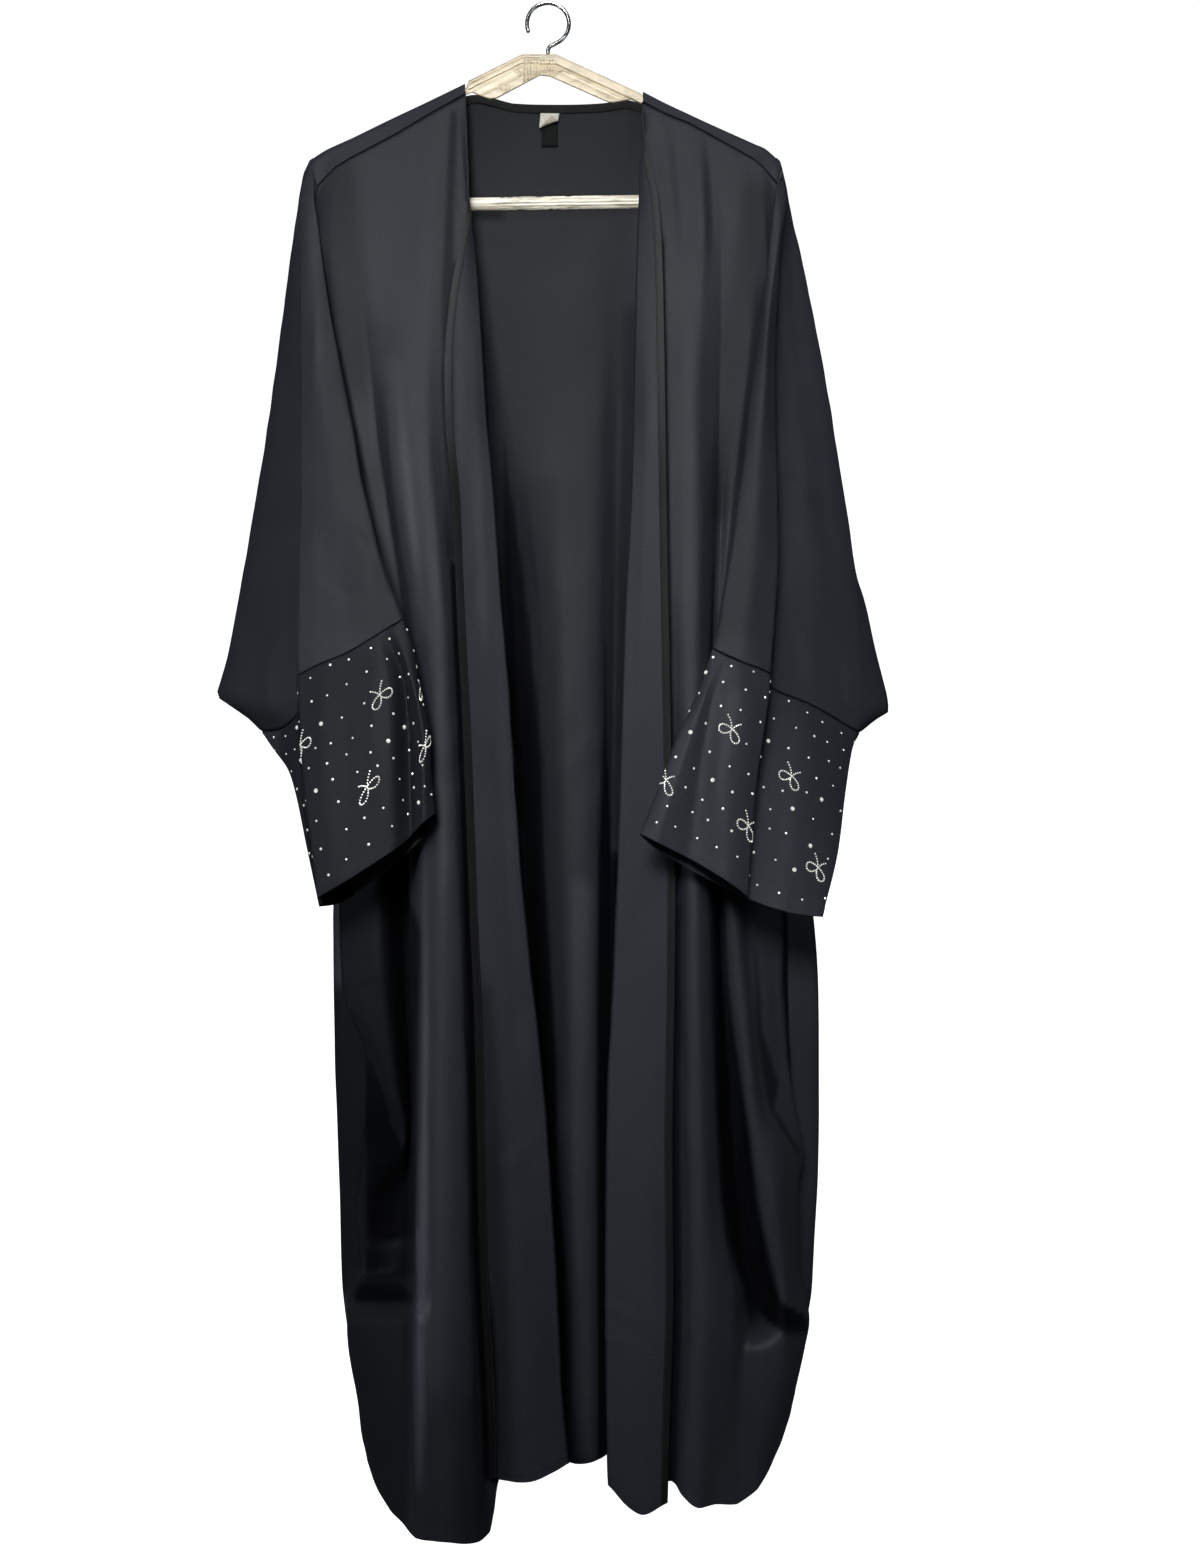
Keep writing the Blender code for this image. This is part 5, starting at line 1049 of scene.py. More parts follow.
def grid_faces(rows, columns, start=0, closed=False):
    ids = start + np.arange(rows * columns).reshape(rows, columns)
    right = np.roll(ids, -1, axis=1)
    last = columns if closed else columns - 1
    return np.stack([ids[:-1, :last], ids[1:, :last], right[1:, :last], right[:-1, :last]], axis=-1).reshape(-1, 4)


def solidify(item, thickness, offset=0.0):
    wall = item.modifiers.new("wall", "SOLIDIFY")
    wall.thickness = thickness
    wall.offset = offset
    return item


def strip_along(world, side, profile):
    """Points along the last column: profile gives (mm in from the edge, mm off the face)."""
    normal = normals_of(world) * side
    w, n = world[:, ::-1], normal[:, ::-1]
    far = np.cumsum(np.pad(np.linalg.norm(np.diff(w, axis=1), axis=2), ((0, 0), (1, 0))), axis=1) * 1000
    out = np.empty((len(w), len(profile), 3))
    for r in range(len(w)):
        for k, (into, off) in enumerate(profile):
            if into >= 0:
                p = [np.interp(into, far[r], w[r, :, c]) for c in range(3)]
                q = [np.interp(into, far[r], n[r, :, c]) for c in range(3)]
            else:
                d = w[r, 0] - w[r, 2]
                d = d / max(np.linalg.norm(d), 1e-9)
                p = w[r, 0] + d * (-into / 1000)
                q = n[r, 0]
            out[r, k] = np.asarray(p) + np.asarray(q) * off / 1000
    return out


def stitches(path, normal, pitch, length, width, rise):
    """Rows of small thread stitches along a world path: returns vertices and faces."""
    far = np.cumsum(np.pad(np.linalg.norm(np.diff(path, axis=0), axis=1), (1, 0))) * 1000
    count = int(far[-1] / pitch)
    vertices, faces = [], []
    at = lambda a, s: np.array([np.interp(s, far, a[:, c]) for c in range(3)])
    for i in range(count):
        s0 = (i + 0.18) * pitch
        for j, (t, k, h) in enumerate(((0, 0.0, -0.35), (0.12, 0.7, 0.35), (0.5, 1.0, 0.75), (0.88, 0.7, 0.35), (1.0, 0.0, -0.35))):
            s = s0 + length * t
            p, n = at(path, s), at(normal, s)
            d = at(path, s + 0.5) - at(path, s - 0.5)
            d /= max(np.linalg.norm(d), 1e-9)
            n /= max(np.linalg.norm(n), 1e-9)
            b = np.cross(d, n)
            c = p + n * rise * h / 1000
            start = len(vertices)
            for a in range(5):
                angle = 2 * math.pi * a / 5
                vertices.append(c + (b * math.cos(angle) * width / 2 + n * math.sin(angle) * rise / 2) * max(k, 0.15) / 1000)
            if j:
                for a in range(5):
                    m = (a + 1) % 5
                    faces.append((start - 5 + a, start - 5 + m, start + m, start + a))
        first = len(vertices) - 25
        faces.append(tuple(first + a for a in range(4, -1, -1)))
        faces.append(tuple(first + 20 + a for a in range(5)))
    return vertices, faces


def joined(name, parts, material):
    """One mesh from lists of (vertices, faces)."""
    vertices, faces = [], []
    for v, f in parts:
        start = len(vertices)
        vertices += [tuple(map(float, p)) for p in v]
        faces += [tuple(int(i) + start for i in face) for face in f]
    return mesh_piece(name, vertices, faces, material)


# ------------------------------------------------------------------- materials
BLACK = (0.0212, 0.0236, 0.0300)
satin = cloth_material("black_crepe_satin", BLACK, roughness=0.50, sheen=0.02, specular=0.20, weave=0.26)
# the binding is painted lighter than the satin, as if lit; the painted shade attribute darkens it again on the lower
# bands, the neck band and the tab
binding_painted_light = cloth_material("black_binding", (0.0380, 0.0395, 0.0400), roughness=0.60, sheen=0.02, specular=0.16, weave=0.22)
tape = cloth_material("woven_cream_tape", (0.74, 0.68, 0.53), roughness=0.62, sheen=0.2, specular=0.3, weave=0.5, tint=(1, 1, 1, 1), anisotropic=0.0)


def thread_material():
    material, tree, shader = new_material("black_thread")
    coords = node(tree, "ShaderNodeTexCoord")
    twist = node(tree, "ShaderNodeTexWave", wave_type="BANDS", bands_direction="DIAGONAL", Scale=180.0, Distortion=0.5)
    tree.links.new(coords.outputs["Object"], twist.inputs["Vector"])
    ramp = node(tree, "ShaderNodeValToRGB")
    ramp.color_ramp.elements[0].color = (0.010, 0.010, 0.011, 1)
    ramp.color_ramp.elements[1].color = (0.030, 0.030, 0.030, 1)
    tree.links.new(twist.outputs["Fac"], ramp.inputs["Fac"])
    tree.links.new(ramp.outputs["Color"], shader.inputs["Base Color"])
    bump = node(tree, "ShaderNodeBump", Strength=0.4, Distance=0.0002)
    tree.links.new(twist.outputs["Fac"], bump.inputs["Height"])
    tree.links.new(bump.outputs["Normal"], shader.inputs["Normal"])
    shader.inputs["Roughness"].default_value = 0.42
    return material


thread = thread_material()


def plastic_material(name, base, dark, transmission, roughness, streak):
    """Moulded hanger plastic: cloudy flow lines along the arms, a faint yellow cast and fine scuffs. On the clear bar
    the same dark streaks are painted reflections.
    """
    material, tree, shader = new_material(name)
    coords = node(tree, "ShaderNodeTexCoord")
    scale = node(tree, "ShaderNodeMapping")
    scale.inputs["Scale"].default_value = streak
    tree.links.new(coords.outputs["Object"], scale.inputs["Vector"])
    flow = node(tree, "ShaderNodeTexNoise", Scale=1.0, Detail=4.0, Roughness=0.55, Distortion=0.4)
    tree.links.new(scale.outputs["Vector"], flow.inputs["Vector"])
    ramp = node(tree, "ShaderNodeValToRGB")
    ramp.color_ramp.elements[0].position = 0.30
    ramp.color_ramp.elements[0].color = (*dark, 1)
    ramp.color_ramp.elements[1].position = 0.52
    ramp.color_ramp.elements[1].color = (*base, 1)
    tree.links.new(flow.outputs["Fac"], ramp.inputs["Fac"])
    tree.links.new(ramp.outputs["Color"], shader.inputs["Base Color"])
    scuff = node(tree, "ShaderNodeTexNoise", Scale=420.0, Detail=3.0)
    tree.links.new(coords.outputs["Object"], scuff.inputs["Vector"])
    rough = node(tree, "ShaderNodeMapRange")
    rough.inputs["To Min"].default_value = roughness
    rough.inputs["To Max"].default_value = roughness + 0.18
    tree.links.new(scuff.outputs["Fac"], rough.inputs["Value"])
    tree.links.new(rough.outputs["Result"], shader.inputs["Roughness"])
    bump = node(tree, "ShaderNodeBump", Strength=0.08, Distance=0.0003)
    tree.links.new(scuff.outputs["Fac"], bump.inputs["Height"])
    tree.links.new(bump.outputs["Normal"], shader.inputs["Normal"])
    shader.inputs["Transmission Weight"].default_value = transmission
    shader.inputs["IOR"].default_value = 1.49
    return material


arm_plastic = plastic_material("cream_plastic", (0.74, 0.64, 0.46), (0.40, 0.33, 0.22), 0.10, 0.22, (30.0, 60.0, 90.0))
# the bar's dark streaks are painted reflections of the cloth behind it
bar_plastic_painted_reflections = plastic_material("clear_plastic", (1.0, 0.95, 0.82), (0.30, 0.27, 0.21), 0.20, 0.10, (26.0, 120.0, 420.0))


def chrome_material():
    material, tree, shader = new_material("bright_wire")
    coords = node(tree, "ShaderNodeTexCoord")
    drawn = node(tree, "ShaderNodeTexNoise", Scale=260.0, Detail=3.0)
    tree.links.new(coords.outputs["Object"], drawn.inputs["Vector"])
    ramp = node(tree, "ShaderNodeValToRGB")
    ramp.color_ramp.elements[0].color = (0.55, 0.55, 0.56, 1)
    ramp.color_ramp.elements[1].color = (0.80, 0.80, 0.81, 1)
    tree.links.new(drawn.outputs["Fac"], ramp.inputs["Fac"])
    tree.links.new(ramp.outputs["Color"], shader.inputs["Base Color"])
    rough = node(tree, "ShaderNodeMapRange")
    rough.inputs["To Min"].default_value = 0.10
    rough.inputs["To Max"].default_value = 0.26
    tree.links.new(drawn.outputs["Fac"], rough.inputs["Value"])
    tree.links.new(rough.outputs["Result"], shader.inputs["Roughness"])
    shader.inputs["Metallic"].default_value = 1.0
    return material


chrome = chrome_material()


def stone_material(name, colour, strength):
    """Cut glass stones on foil: bright and silvery, each facet a little different, with a painted glow from emission.
    """
    material, tree, shader = new_material(name)
    coords = node(tree, "ShaderNodeTexCoord")
    spark = node(tree, "ShaderNodeTexNoise", Scale=900.0, Detail=2.0)
    tree.links.new(coords.outputs["Object"], spark.inputs["Vector"])
    ramp = node(tree, "ShaderNodeValToRGB")
    ramp.color_ramp.elements[0].position = 0.35
    ramp.color_ramp.elements[0].color = (*[c * 0.55 for c in colour], 1)
    ramp.color_ramp.elements[1].position = 0.6
    ramp.color_ramp.elements[1].color = (*colour, 1)
    tree.links.new(spark.outputs["Fac"], ramp.inputs["Fac"])
    tree.links.new(ramp.outputs["Color"], shader.inputs["Base Color"])
    rough = node(tree, "ShaderNodeMapRange")
    rough.inputs["To Min"].default_value = 0.06
    rough.inputs["To Max"].default_value = 0.3
    tree.links.new(spark.outputs["Fac"], rough.inputs["Value"])
    tree.links.new(rough.outputs["Result"], shader.inputs["Roughness"])
    shader.inputs["Metallic"].default_value = 0.55
    shader.inputs["Coat Weight"].default_value = 0.8
    shader.inputs["Coat Roughness"].default_value = 0.04
    # painted glow: emission keeps the stones bright in shade, though they are no lamp
    shader.inputs["Emission Color"].default_value = (*colour, 1)
    shader.inputs["Emission Strength"].default_value = strength
    return material


stone = stone_material("clear_stones_painted_glow", (0.95, 0.94, 0.88), 0.42)


def dress(item, *names, slot="black_satin"):
    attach(item, "root")
    if names:
        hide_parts(*names)
    return item


# ----------------------------------------------------------------- cloth panels
def far_from(panel, edge):
    """Each point's distance in mm from the seam itself, where the allowance turns in."""
    axis = 0 if edge in ("top", "bottom") else 1
    far = arc_lengths(panel.world, axis) * 1000
    turn = 3 if edge in ("top", "first") else -4
    return np.abs(far - (far[turn][None] if axis == 0 else far[:, turn][:, None]))


def cracks(panel, edges, width=1.5):
    """Painted shade along a seam, where it would keep the light out, 0 to 1."""
    return np.max([1 / (1 + np.exp(np.clip((far_from(panel, edge) - width) * 5, -50, 50))) for edge in edges], axis=0)


# painted shade along the shoulder seams, the sleeves' foot and the cuffs' top
for panel in (left_front, right_front):
    panel.crack = cracks(panel, ("top",))
back.crack = cracks(back, ("top",))
back.crack[:, back.first[7] + 1 : back.first[14]] = 0
for panel in (left_sleeve, right_sleeve):
    panel.crack = cracks(panel, ("bottom",), 0.45)
for panel in (left_cuff, right_cuff):
    panel.crack = cracks(panel, ("top",), 0.5)
back.deep = (5.0, 42.0)


def shade(panel, edges, strength, soft=4.0, only=None, kind="shade"):
    """Paints shade into a region such as a deep fold; with the highlight kind it paints a highlight. Edges are (drop,
    left, right) in elevation mm, from its top to its foot.
    """
    drop, across = panel.drop(), panel.across()
    rows, left, right = np.transpose(np.asarray(edges, float))
    step = lambda v, s: 1 / (1 + np.exp(np.clip(-v / (0.35 * s), -50, 50)))
    share = step(across - np.interp(drop, rows, left), soft) * step(np.interp(drop, rows, right) - across, soft)
    share *= step(drop - rows[0], 2 * soft) * step(rows[-1] - drop, 2 * soft) * strength
    if only is not None:
        share = share * only
    setattr(panel, kind, np.maximum(getattr(panel, kind, 0.0), share))


def edge_line(table, drops, left, right):
    """Edges for shade(): a band beside one of the table's folds, left and right giving its sides at the first and last drop."""
    line = along(table, drops)[:, 0]
    share = np.linspace(0, 1, len(drops))
    return np.column_stack([drops, line + left[0] + (left[1] - left[0]) * share, line + right[0] + (right[1] - right[0]) * share])


def body_of(panel, table, name):
    """The part of a front outside one of its folds, leaving out the cloth turned back past it."""
    order = list(table).index(name)
    counts = panel.counts
    column = 3 + sum(counts[:order])
    return (np.arange(panel.columns()) <= column)[None, :] * 1.0


# painted shade: the pocket under the left cuff, its wedge and the cloth below it
body = body_of(left_front, FRONT_LEFT, "under")
shade(left_front, ((845, 332, 400), (893, 332, 409), (930, 332, 422), (1000, 334, 423), (1125, 336, 421), (1302, 340, 416)), 0.74, 5.0, body)
shade(left_front, ((845, 383, 402), (893, 383, 409), (930, 386, 421), (979, 390, 423), (1016, 392, 422), (1089, 398, 421), (1130, 404, 420), (1165, 404, 419)), 1.0, 3.0, body)
shade(left_front, ((1004, 343, 345), (1034, 343, 361), (1089, 356, 385), (1125, 361, 394), (1150, 364, 406), (1165, 364, 418)), 1.0, 2.5, body)
shade(left_front, ((1150, 364, 419), (1200, 364, 418), (1245, 364, 417)), 1.0, 4.0, body)
shade(left_front, ((1240, 363, 416), (1284, 363, 415)), 0.90, 4.0, body)
shade(left_front, ((1280, 362, 400), (1296, 353, 414), (1306, 356, 414)), 1.0, 2.5, body)
shade(left_front, ((1300, 342, 412), (1400, 352, 412), (1540, 380, 410)), 0.66, 6.0, body)
# painted shade: the slit beside the left lapel, and the lapel's own shaded margin low down
lower = np.linspace(560, 1480, 12)
upper = np.linspace(262, 560, 6)
shade(left_front, edge_line(FRONT_LEFT["edge"], upper, (-4.0, -4.5), (1.0, 1.0)), 0.75, 1.5, body)
shade(left_front, edge_line(FRONT_LEFT["edge"], lower, (-6.0, -8.0), (3.0, 3.0)), 1.0, 1.5, body)
turned = 1 - body
shade(left_front, ((1180, 480, 482), (1235, 479, 485), (1344, 482, 496), (1453, 488, 499), (1484, 489, 499)), 1.0, 2.0)
shade(left_front, ((985, 474, 492), (1100, 476, 500), (1300, 480, 508), (1484, 488, 512)), 0.5, 7.0, turned)
shade(left_front, ((1390, 405, 500), (1560, 405, 500)), 0.38, 12.0, body)
# painted shade on the right front: the black valley that hooks outward, the slit by the flap and the crease between the
# panels
body = body_of(right_front, FRONT_RIGHT, "under")
shade(right_front, ((862, 708, 725), (970, 710, 725), (1070, 714, 739), (1137, 717, 751), (1203, 721, 757), (1237, 726, 765), (1270, 736, 771), (1303, 752, 783), (1317, 763, 808), (1334, 782, 808)), 1.0, 3.0, body)
shade(right_front, ((904, 782, 798), (945, 783, 793), (980, 782, 790), (1020, 785, 790), (1057, 787, 792), (1086, 792, 798)), 1.0, 1.2, body)
shade(right_front, ((925, 752, 755), (1030, 756, 762), (1083, 764, 778), (1110, 769, 774), (1153, 797, 801)), 0.75, 2.0, body)
shade(right_front, edge_line(FRONT_RIGHT["edge"], np.linspace(240, 900, 8), (-2.0, -2.0), (3.5, 5.0)), 0.72, 1.5, body)
shade(right_front, edge_line(FRONT_RIGHT["edge"], np.linspace(900, 1500, 8), (-2.0, -2.0), (6.0, 11.0)), 0.80, 3.0, body)
# painted shade on the back inside the garment: less light than the fronts, and black where it passes behind their folds
back.shade = np.interp(back.drop(), (90, 200, 300, 450, 620, 700), (0.56, 0.42, 0.34, 0.22, 0.06, 0.0))
# painted shadow of the clear bar on the cloth right below it, most at its left end
painted_bar_shadow_spot = np.exp(-(((back.across() - 486) / 24) ** 4) - ((back.drop() - 214) / 9) ** 2)
back.shade = np.maximum(back.shade, 0.80 * painted_bar_shadow_spot)
painted_bar_shadow_line = np.exp(-(((back.drop() - 208) / 3.0) ** 2))
back.shade = np.maximum(back.shade, 0.62 * painted_bar_shadow_line)
# painted shade in the back's dark valleys beside the lapels' folds
shade(back, ((300, 484, 488), (420, 486, 511), (520, 498, 526), (620, 503, 533), (700, 507, 539), (800, 518, 544)), 0.50, 5.0)
shade(back, ((640, 605, 606), (740, 603, 607), (860, 598, 612), (1000, 596, 612), (1500, 598, 612)), 1.0, 2.0)
shade(back, ((430, 502, 503), (520, 502, 517), (620, 505, 530), (700, 507, 538), (760, 514, 543), (860, 524, 545), (960, 528, 551), (1060, 540, 557), (1160, 541, 558), (1260, 548, 566), (1360, 555, 568), (1460, 556, 568)), 0.92, 3.0)
# painted highlight down the back's lit ridge
shade(back, ((880, 572, 593), (1460, 572, 593)), 0.50, 5.0, kind="lit")
# painted highlight on the yoke, where it would catch the light from above, up to its seam
over = 1 / (1 + np.exp(np.clip((back.depth() + 3.0) / 0.8, -50, 50))) * (back.drop() < 240)
back.lit = np.maximum(back.lit, 0.62 * over * (1 - np.clip(back.crack, 0, 1)))
# painted shade: the sleeves' fronts fall away towards the fold at their inner edge, which is darkest
shade(left_sleeve, ((270, 318, 345), (420, 326, 392), (520, 338, 406), (640, 350, 424)), 0.26, 8.0)
shade(left_sleeve, ((350, 346, 378), (420, 350, 386), (520, 366, 402), (600, 386, 418)), 0.55, 7.0)
shade(right_sleeve, ((300, 735, 775), (420, 722, 765), (520, 708, 760), (640, 692, 755)), 0.30, 8.0)
# painted shade on the fronts beside the armholes, beside the left band and low on the right front
shade(left_front, ((110, 306, 340), (200, 310, 358), (330, 316, 372), (400, 320, 366)), 0.30, 9.0, body_of(left_front, FRONT_LEFT, "under"))
shade(left_front, ((110, 450, 458), (200, 446, 455), (300, 441, 452), (420, 444, 455), (560, 446, 457)), 0.62, 3.0)
shade(right_front, ((180, 746, 775), (330, 722, 752), (430, 716, 742), (520, 706, 730)), 0.35, 7.0, body)
shade(right_front, ((830, 734, 840), (960, 734, 840)), 0.28, 10.0, body)
# painted highlights on bright crests
shade(left_front, ((360, 380, 400), (430, 388, 404), (520, 402, 416), (640, 414, 430)), 0.34, 6.0, kind="lit")
shade(left_front, ((840, 424, 425), (960, 421, 427), (1040, 418, 428), (1200, 417, 427), (1420, 416, 425), (1490, 418, 420)), 1.10, 3.0, kind="lit")
shade(left_front, ((1226, 417, 420), (1330, 418, 421), (1417, 420, 423)), 2.0, 1.2, kind="lit")
shade(left_front, ((1240, 427, 429), (1330, 428, 430), (1417, 429, 431)), 1.2, 1.2, kind="lit")
# painted shade on the back beside the lapels' folds and at its left side, over the left cuff and on the left sleeve's
# outer side
shade(back, edge_line(FRONT_RIGHT["fold"], np.linspace(850, 1480, 8), (-8.0, -7.0), (30.0, 30.0)), 1.0, 2.5)
shade(back, edge_line(FRONT_RIGHT["fold"], np.linspace(300, 850, 8), (-16.0, -12.0), (30.0, 30.0)), 0.62, 6.0)
shade(back, edge_line(FRONT_LEFT["fold"], np.linspace(560, 1480, 12), (-30.0, -30.0), (8.0, 12.0)), 0.62, 5.0)
shade(back, ((985, 325, 376), (1100, 326, 378), (1296, 334, 384)), 0.80, 4.0)
shade(back, ((470, 518, 560), (900, 528, 566), (1100, 540, 566)), 0.32, 6.0)
shade(left_cuff, ((600, 280, 460), (920, 280, 460)), 0.46, 4.0)
shade(left_sleeve, ((240, 215, 300), (400, 215, 300), (760, 215, 296)), 0.30, 6.0)
cloth = {}
for panel, name in (
    (left_front, "front_left"), (right_front, "front_right"), (left_sleeve, "sleeve_left"),
    (right_sleeve, "sleeve_right"), (left_cuff, "cuff_left"), (right_cuff, "cuff_right"),
):
    cloth[name] = dress(build(panel, satin), name)
cloth["back"] = dress(build(back, satin, notch=back.notch), "back")

# ----------------------------------------------------------- bands and stitches
extras = {name: [] for name in cloth}
BAND_PROFILE = ((7.0, 0.42), (6.6, 0.78), (3.6, 0.86), (0.8, 0.82), (-0.35, 0.70), (-0.75, 0.15))
for name, panel, side in (("front_band_left", left_front, 1.0), ("front_band_right", right_front, -1.0)):
    world = panel.world[3:, 3:]
    strip = strip_along(world, side, BAND_PROFILE)
    rows, columns = strip.shape[:2]
    v = arc_lengths(strip, 0)
    u = arc_lengths(strip, 1)
    item = mesh_piece(name + "_binding", strip.reshape(-1, 3), grid_faces(rows, columns), binding_painted_light, np.stack([u, v], axis=-1).reshape(-1, 2))
    # painted shade on the band: little near the top, near black down the slit
    dark = np.interp(panel.seen[3:, -1, 0], (0, 240, 360, 480, 1600), (0.25, 0.10, 0.15, 0.80, 0.97) if side > 0 else (0.1, 0.1, 0.2, 0.62, 0.90))
    shaded(item, np.repeat(dark[:, None], columns, axis=1))
    solidify(item, 0.0004)
    dress(item, name, slot="black_band")
    normal = normals_of(world) * side
    line = strip_along(world, side, ((5.7, 1.12),))[:, 0]
    row = stitches(line, normal[:, -3], 3.2, 2.3, 0.42, 0.38)
    threads = dress(joined(name + "_stitches", [row], thread), slot="black_band")
    owner = "front_left" if "left" in name else "front_right"
    extras[owner] += [item, threads]

# the neck band, on the inner side of the back's neckline
neck = back.world[back.notch[0]:, back.notch[1] : back.notch[2] + 1]
neck_normal = normals_of(neck)
neck_normal = np.where(neck_normal[..., 1:2] > 0, -neck_normal, neck_normal)


def down_from_neck(into, off):
    far = arc_lengths(neck, 0) * 1000
    out = np.empty((neck.shape[1], 3))
    for k in range(neck.shape[1]):
        if into >= 0:
            p = np.array([np.interp(into, far[:, k], neck[:, k, c]) for c in range(3)])
        else:
            d = neck[0, k] - neck[2, k]
            p = neck[0, k] + d / max(np.linalg.norm(d), 1e-9) * (-into / 1000)
        out[k] = p + neck_normal[0, k] * off / 1000
    return out


strip = np.stack([down_from_neck(*p) for p in ((-0.9, -0.35), (-0.9, 0.5), (0.6, 0.95), (3.8, 1.05), (7.2, 0.95), (7.9, 0.50))], axis=0)
u, v = arc_lengths(strip, 1), arc_lengths(strip, 0)
item = mesh_piece("neck_binding", strip.reshape(-1, 3), grid_faces(*strip.shape[:2]), binding_painted_light, np.stack([u, v], axis=-1).reshape(-1, 2))
# painted shade, even over the neck band
shaded(item, np.full(len(item.data.vertices), 0.74))
solidify(item, 0.0004)
dress(item, "neck_band", slot="black_band")
line = down_from_neck(6.5, 1.25)
row = stitches(line, np.repeat(neck_normal[:1, neck.shape[1] // 2], len(line), axis=0), 3.2, 2.3, 0.42, 0.38)
extras["back"] += [item, dress(joined("neck_stitches", [row], thread), slot="black_band")]


# ------------------------------------------------------------------------- tabs
def tab_piece(name, corners, layers, material, thickness, bulge=0.0):
    """A small four-cornered flat tab with a slight bend; corners are (drop, across, depth) clockwise from top left."""
    a, b, c, d = (np.array(p, float) for p in corners)
    n = 12
    rows = []
    for i in range(n + 1):
        t = i / n
        left, right = a + (d - a) * t, b + (c - b) * t
        row = [left + (right - left) * s + np.array([0, 0, -bulge * math.sin(math.pi * t) * (0.6 + 0.4 * math.sin(math.pi * s))]) for s in np.linspace(0, 1, n + 1)]
        rows.append(row)
    points = place(np.array(rows))
    u, v = arc_lengths(points, 1), arc_lengths(points, 0)
    item = mesh_piece(name, points.reshape(-1, 3), grid_faces(n + 1, n + 1), material, np.stack([u, v], axis=-1).reshape(-1, 2))
    solidify(item, thickness)
    return item


cream = tab_piece("cream_tab", ((113.2, 540.6, 8.0), (113.6, 559.4, 8.0), (120.8, 558.0, 6.2), (128.0, 539.2, 5.2)), 1, tape, 0.0005, 0.8)
dress(cream, "neck_tab", slot="cream_tape")
# a copy of the tape in painted shade, for the tab's fold
shade_tape = cloth_material("tape_in_painted_shade", (0.46, 0.41, 0.32), roughness=0.7, sheen=0.2, specular=0.25, weave=0.5, tint=(1, 1, 1, 1), anisotropic=0.0)
fold = mesh_piece(
    "cream_tab_fold",
    place(np.array([(126.2, 541.0, 4.6), (115.6, 552.0, 5.6), (121.0, 557.4, 5.0), (123.2, 548.6, 4.0), (120.6, 551.4, 4.2)])),
    ((0, 4, 1), (4, 2, 1), (0, 3, 4), (3, 2, 4)),
    shade_tape,
    ((0, 0), (0.012, 0.010), (0.018, 0.004), (0.008, 0.002), (0.012, 0.005)),
)
solidify(fold, 0.0004)
dress(fold, slot="cream_tape")
black_tab = tab_piece("black_tab", ((121.0, 541.8, 9.0), (121.0, 557.2, 9.0), (146.8, 557.6, 9.6), (147.2, 541.4, 9.6)), 1, binding_painted_light, 0.0006, 0.9)
# the tab is darkened by the painted shade attribute, 0.85 over all of it
shaded(black_tab, np.full(len(black_tab.data.vertices), 0.85))
dress(black_tab, "size_tab", slot="black_band")
extras["back"] += [cream, fold, black_tab]


# ------------------------------------------------------------------- hanger
def polyline(points):
    """A curve of (across, value) pairs, read with straight pieces."""
    return np.transpose(np.array(sorted(points), float))


ARM_TOP = polyline([(322.5, 168), (324, 162), (336, 150.5), (370, 134), (430, 106), (466, 87.5), (469, 80.5), (522, 54.3), (556, 54.3), (636, 91.2), (661, 103.5), (690, 118), (740, 141), (758, 150.5), (765, 155.5), (768, 163)])
ARM_FOOT = polyline([(322.5, 172), (326, 176), (334, 172), (440, 126), (456, 112), (464, 96), (472, 92.5), (480, 96), (490, 99.3), (497, 98.5), (540, 75.7), (550, 76.7), (606, 101.5), (613, 103.1), (631, 99.7), (642, 104.5), (650, 116), (660, 128), (758, 172), (764, 173), (768, 167)])


def arm_outline(across):
    return np.interp(across, *ARM_TOP), np.interp(across, *ARM_FOOT)


def bump(x, centre, width):
    return np.exp(-(((x - centre) / width) ** 2))


def step_up(x, at, soft=0.35):
    return 1 / (1 + np.exp(-(x - at) / soft))


